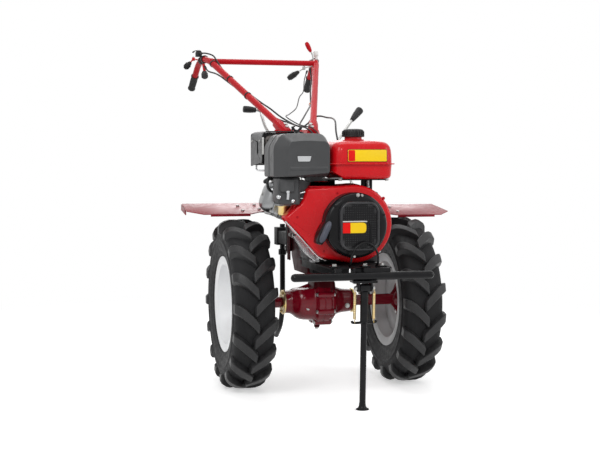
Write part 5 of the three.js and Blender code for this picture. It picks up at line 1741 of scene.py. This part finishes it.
def makeLever(name, node, clamp, elbow, tip, blade, finish, sleeve):
    clamp, elbow, tip = Vector(clamp), Vector(elbow), Vector(tip)
    bm = bmesh.new()
    start = elbow.lerp(tip, 0.3)
    path = smoothPath([clamp, clamp.lerp(elbow, 0.5), elbow, start], 4)
    radii = [6.5 + 1.5 * math.sin(math.pi * k / (len(path) - 1)) for k in range(len(path))]
    addSweep(bm, path, radii, 16, 0.45)
    addRod(bm, elbow - zAxis * 8, elbow + zAxis * 8, 7, 24)
    piece(name + "_bracket", bm, finish, "handlebar", bevel=0.6)
    bm = bmesh.new()
    swell = [0.42, 0.6, 0.72, 0.8, 0.87, 0.93, 0.97, 1.0, 1.0, 1.0, 0.99, 0.97, 0.94, 0.9, 0.82, 0.6]
    spine = [start.lerp(tip, k / (len(swell) - 1)) for k in range(len(swell))]
    addSweep(bm, spine, [blade * share for share in swell], 24, 0.86)
    for k in range(5):
        middle = start.lerp(tip, 0.4 + 0.1 * k)
        addTurned(bm, [(blade * 0.9, -1.6), (blade * 1.04, -1), (blade * 1.04, 1), (blade * 0.9, 1.6)],
                  middle, tip - start, 24, closed=True)
    piece(name + "_blade", bm, sleeve, "handlebar", replaces=[node], sharp=60)
    bolt(elbow + zAxis * 8, zAxis, 0.6, body="handlebar")


def makeClamp(name, sign, share):
    # A split collar round a bar tube.
    path = armPath(sign)
    i = int(share * (len(path) - 1))
    place, along = path[i], (path[i + 1] - path[i]).normalized()
    bm = bmesh.new()
    collar = [(14, -9), (17.5, -9), (18.5, -8), (18.5, 8), (17.5, 9), (14, 9)]
    addTurned(bm, collar, place, along, 40, closed=True)
    side = along.cross(zAxis).normalized() * sign
    for flip in (-1, 1):
        x, y, z = place - side * 20 + zAxis * 3.4 * flip
        addBox(bm, x - 9, x + 9, y - 7, y + 7, z - 2, z + 2)
    piece("clamp_" + name, bm, "satinBlack", "handlebar", bevel=0.8)
    bolt(place - side * 21 + zAxis * 5.4, zAxis, 0.6, body="handlebar")


controlSet = {
    "levers": [  # name, CAD node, clamp, elbow, tip, blade radius, bracket, blade
        ("clutch_lever", "outer_lever_right", (-278, 1096, 1318), (-300, 1136, 1324), (-337, 1159, 1282), 14,
         "redEnamel", "gripRubber"),
        ("steering_lever_right", "inner_lever_right", (-264, 1076, 1300), (-258, 1088, 1284),
         (-251, 1111, 1234), 15, "redEnamel", "coverPlastic"),
        ("steering_lever_left", "inner_lever_left", (252, 1072, 1300), (216, 1084, 1288),
         (143, 1103, 1238), 15, "boltSteel", "gripRubber"),
    ],
    # name, side and share of the way along the tube
    "clamps": [("right_high", -1, 0.62), ("right_low", -1, 0.72), ("left_high", 1, 0.60),
               ("left_low", 1, 0.74)],
    "throttle": (-282, 1098, 1355), "stopLever": [(227, 1000, 1358), (204.5, 1000, 1401.5)],
    "stopCover": (256, 1008, 1324),
}


def makeControls():
    for values in controlSet["levers"]:
        makeLever(*values)
    for values in controlSet["clamps"]:
        makeClamp(*values)
    bm = bmesh.new()
    addTopLoft(bm, softOutline([(-296, 1084, 5), (-268, 1084, 5), (-268, 1112, 5), (-296, 1112, 5)]),
               [(1332.5, 0), (1352, 0), (1355, 1.5), (1356.5, 4)])
    knob = Vector(controlSet["throttle"])
    addTurned(bm, [(0, 0), (11, 0), (12, 1), (12, 4), (10, 6), (0, 6)], knob, zAxis, 32)
    piece("throttle_case", bm, "satinBlack", "handlebar", bevel=0.8, replaces=["throttle_block"])
    bm = bmesh.new()
    thumb = smoothPath([(-284, 1096, 1359), (-294, 1092, 1360), (-305, 1086, 1356), (-312, 1080, 1350)], 4)
    addSweep(bm, thumb, [5, 4.6, 4.2, 4, 3.8, 3.8, 4, 4.4, 5, 5.6, 6, 6, 4][:len(thumb)], 16, 0.5)
    piece("throttle_thumb", bm, "satinBlack", "handlebar", sharp=60)
    bolt(knob + zAxis * 6, zAxis, 0.55, body="handlebar")
    stem = smoothPath([(238, 1002, 1320), (237, 1001, 1336), (232, 1000, 1350), (224, 1000, 1364)], 5)
    tube("stop_stem", stem, 3.4, "boltSteel", "handlebar", sides=16)
    bm = bmesh.new()
    start, tip = (Vector(place) for place in controlSet["stopLever"])
    radii = [6, 8.4, 9.6, 10.4, 10.8, 10.6, 9.6, 6]
    addSweep(bm, [start.lerp(tip, k / 7) for k in range(8)], radii, 20, 0.6, yAxis)
    piece("stop_sleeve", bm, "tubeEnamel", "handlebar", replaces=["stop_lever"], sharp=60)
    cover = [(0, 0), (7, 0), (7, 12), (10.5, 15), (11, 20), (11, 34), (9, 38), (0, 39)]
    turned("stop_spring_cover", "paleKnob", cover, controlSet["stopCover"], Vector((-0.1, 0, 1)), 32,
           body="handlebar", sharp=45)


for side, name in ((1, "left"), (-1, "right")):
    makeArm(name, side)
makeYoke()
makeCrossbar()
makeControls()
print("handlebar done")

# Gear levers: drawn rods with moulded knobs.

leverSet = {
    "shift": {"route": [(-50, 112, 766), (-51, 118, 780), (-58, 200, 830), (-84, 380, 930), (-100, 500, 989),
                        (-88, 640, 1047), (-74, 728, 1071), (-86, 746, 1077), (-112, 748, 1079)],
              "radius": 6.5, "knob": ((-90, 748, 1077), (-148, 748, 1081)), "wide": (11, 15)},
    "selector": {"route": [(52, 62, 765), (53, 66, 784), (58, 92, 845), (88, 124, 915), (122, 150, 955),
                           (190, 218, 1024)],
                 "radius": 5.5, "knob": ((184, 212, 1018), (232, 250, 1064)), "wide": (8.5, 16)},
}


def makeGearLever(name, route, radius, knob, wide):
    tube(name + "_rod", smoothPath(route, 7), radius, "boltSteel", sides=24, replaces=[name + "_lever"],
         sharp=50)
    start, end = Vector(knob[0]), Vector(knob[1])
    along = end - start
    length, (thin, thick) = along.length, wide

    def swell(share):
        return thin + (thick - thin) * share ** 0.8

    profile = [(0, 0), (thin - 2, 0), (thin, 2)]
    profile += [(swell(s), 2 + (length - 9) * s) for s in (0.15, 0.35, 0.55, 0.75, 0.9)]
    profile += [(thick, length - 7), (thick - 0.6, length - 3.5), (thick - 3, length - 1), (0, length)]
    bm = bmesh.new()
    addTurned(bm, profile, start, along, 36)
    for k in range(6):
        side = Quaternion(along.normalized(), math.tau * k / 6) @ along.orthogonal().normalized()
        rib = [start + along * s + side * (swell(s) - 0.6) for s in (0.2, 0.4, 0.6, 0.8)]
        addSweep(bm, rib, [1.2, 1.8, 2.0, 1.2], 8)
    piece(name + "_knob", bm, "satinBlack", sharp=50)
    boot = [(6, -6), (17, -6), (17, -2), (14, 1), (12, 4), (13, 7), (10, 10), (11, 13), (8, 17), (6, 18)]
    turned(name + "_boot", "gripRubber", boot, route[0], zAxis, 36, closed=True, sharp=60)


for name, values in leverSet.items():
    makeGearLever(name, **values)

# Control cables run from the levers down to the gearbox and the engine.

cableRoutes = {
    "steering_cable_right": [
        (-262, 1050, 1284), (-256, 1000, 1261), (-234, 930, 1245), (-220, 880, 1229), (-205, 840, 1210),
        (-186, 800, 1188), (-136, 672, 1128), (-94, 532, 1058), (-60, 452, 1028), (-12, 372, 1003),
        (-34, 320, 988), (-56, 270, 940), (-70, 220, 872), (-74, 180, 812), (-74, 164, 770)],
    "steering_cable_left": [
        (236, 1050, 1284), (232, 1010, 1240), (198, 900, 1172), (172, 800, 1108), (140, 705, 1088),
        (80, 560, 1046), (22, 415, 1000), (30, 350, 992), (44, 300, 970), (56, 262, 926),
        (58, 220, 868), (58, 180, 812), (58, 164, 770)],
    "clutch_cable": [
        (222, 1050, 1272), (191, 980, 1228), (165, 900, 1170), (126, 820, 1140), (80, 700, 1086),
        (18, 580, 1054), (-20, 480, 1040), (-2, 400, 1014), (8, 345, 1002), (48, 296, 986), (72, 262, 942),
        (74, 220, 880), (74, 180, 816), (74, 150, 770)],
    "throttle_cable": [
        (-279, 1082, 1346), (-262, 1024, 1343), (-236, 976, 1328), (-226, 952, 1306), (-208, 918, 1268),
        (-172, 808, 1202), (-136, 690, 1148), (-104, 590, 1104), (-80, 514, 1074), (-36, 476, 1034),
        (36, 452, 998), (72, 476, 1012), (104, 506, 1040), (124, 480, 1044), (133, 400, 1036),
        (128, 300, 1030), (112, 200, 1014), (88, 100, 962), (86, 20, 872), (84, -70, 806), (80, -138, 772)],
}
cableRadius = {"clutch_cable": 2.4}
hinge = {"start": (0, -0.19, 0.80), "end": (0, -0.05, 0.98)}
clipSet = {"orange": (170, 792, 1105.5), "shares": (0.14, 0.22, 0.30)}


def makeCable(name, route):
    path = smoothPath(route, 8)
    radius = cableRadius.get(name, 3.5)
    cord = tube(name + "_sheath", path, radius, "cableSheath", body=None, sides=16, replaces=[name], sharp=60)
    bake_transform(cord, "root", "handlebar", start=hinge["start"], end=hinge["end"])
    ferrule = [(0, -2), (radius + 1.6, -2), (radius + 2, 0), (radius + 2, 12), (radius + 1.4, 14),
               (radius + 1.4, 22), (radius + 0.6, 26), (0, 26)]
    for end, inner, body, finish in (
        (path[0], path[3], "handlebar", "gripRubber"), (path[-1], path[-4], "root", "boltSteel")):
        turned(f"{name}_ferrule_{body}", finish, ferrule, end, inner - end, 20, body=body)


def makeClip(name, place, along, radius, finish, body):
    band = [(radius - 1.6, -4), (radius, -4), (radius + 0.6, -3), (radius + 0.6, 3), (radius, 4),
            (radius - 1.6, 4)]
    turned("cable_clip_" + name, finish, band, place, along, 32, closed=True, body=body)


for name, route in cableRoutes.items():
    makeCable(name, route)
makeClip("orange", clipSet["orange"], Vector((0.25, 0.9, 0.4)), 7.5, "clipOrange", "handlebar")
path = armPath(-1)
for k, share in enumerate(clipSet["shares"]):
    place = path[int(share * (len(path) - 1))]
    makeClip(f"right_{k}", place, path[4] - path[0], 16, "gripRubber", "handlebar")
print("levers and cables done")


setBolts()
print("bolts done")
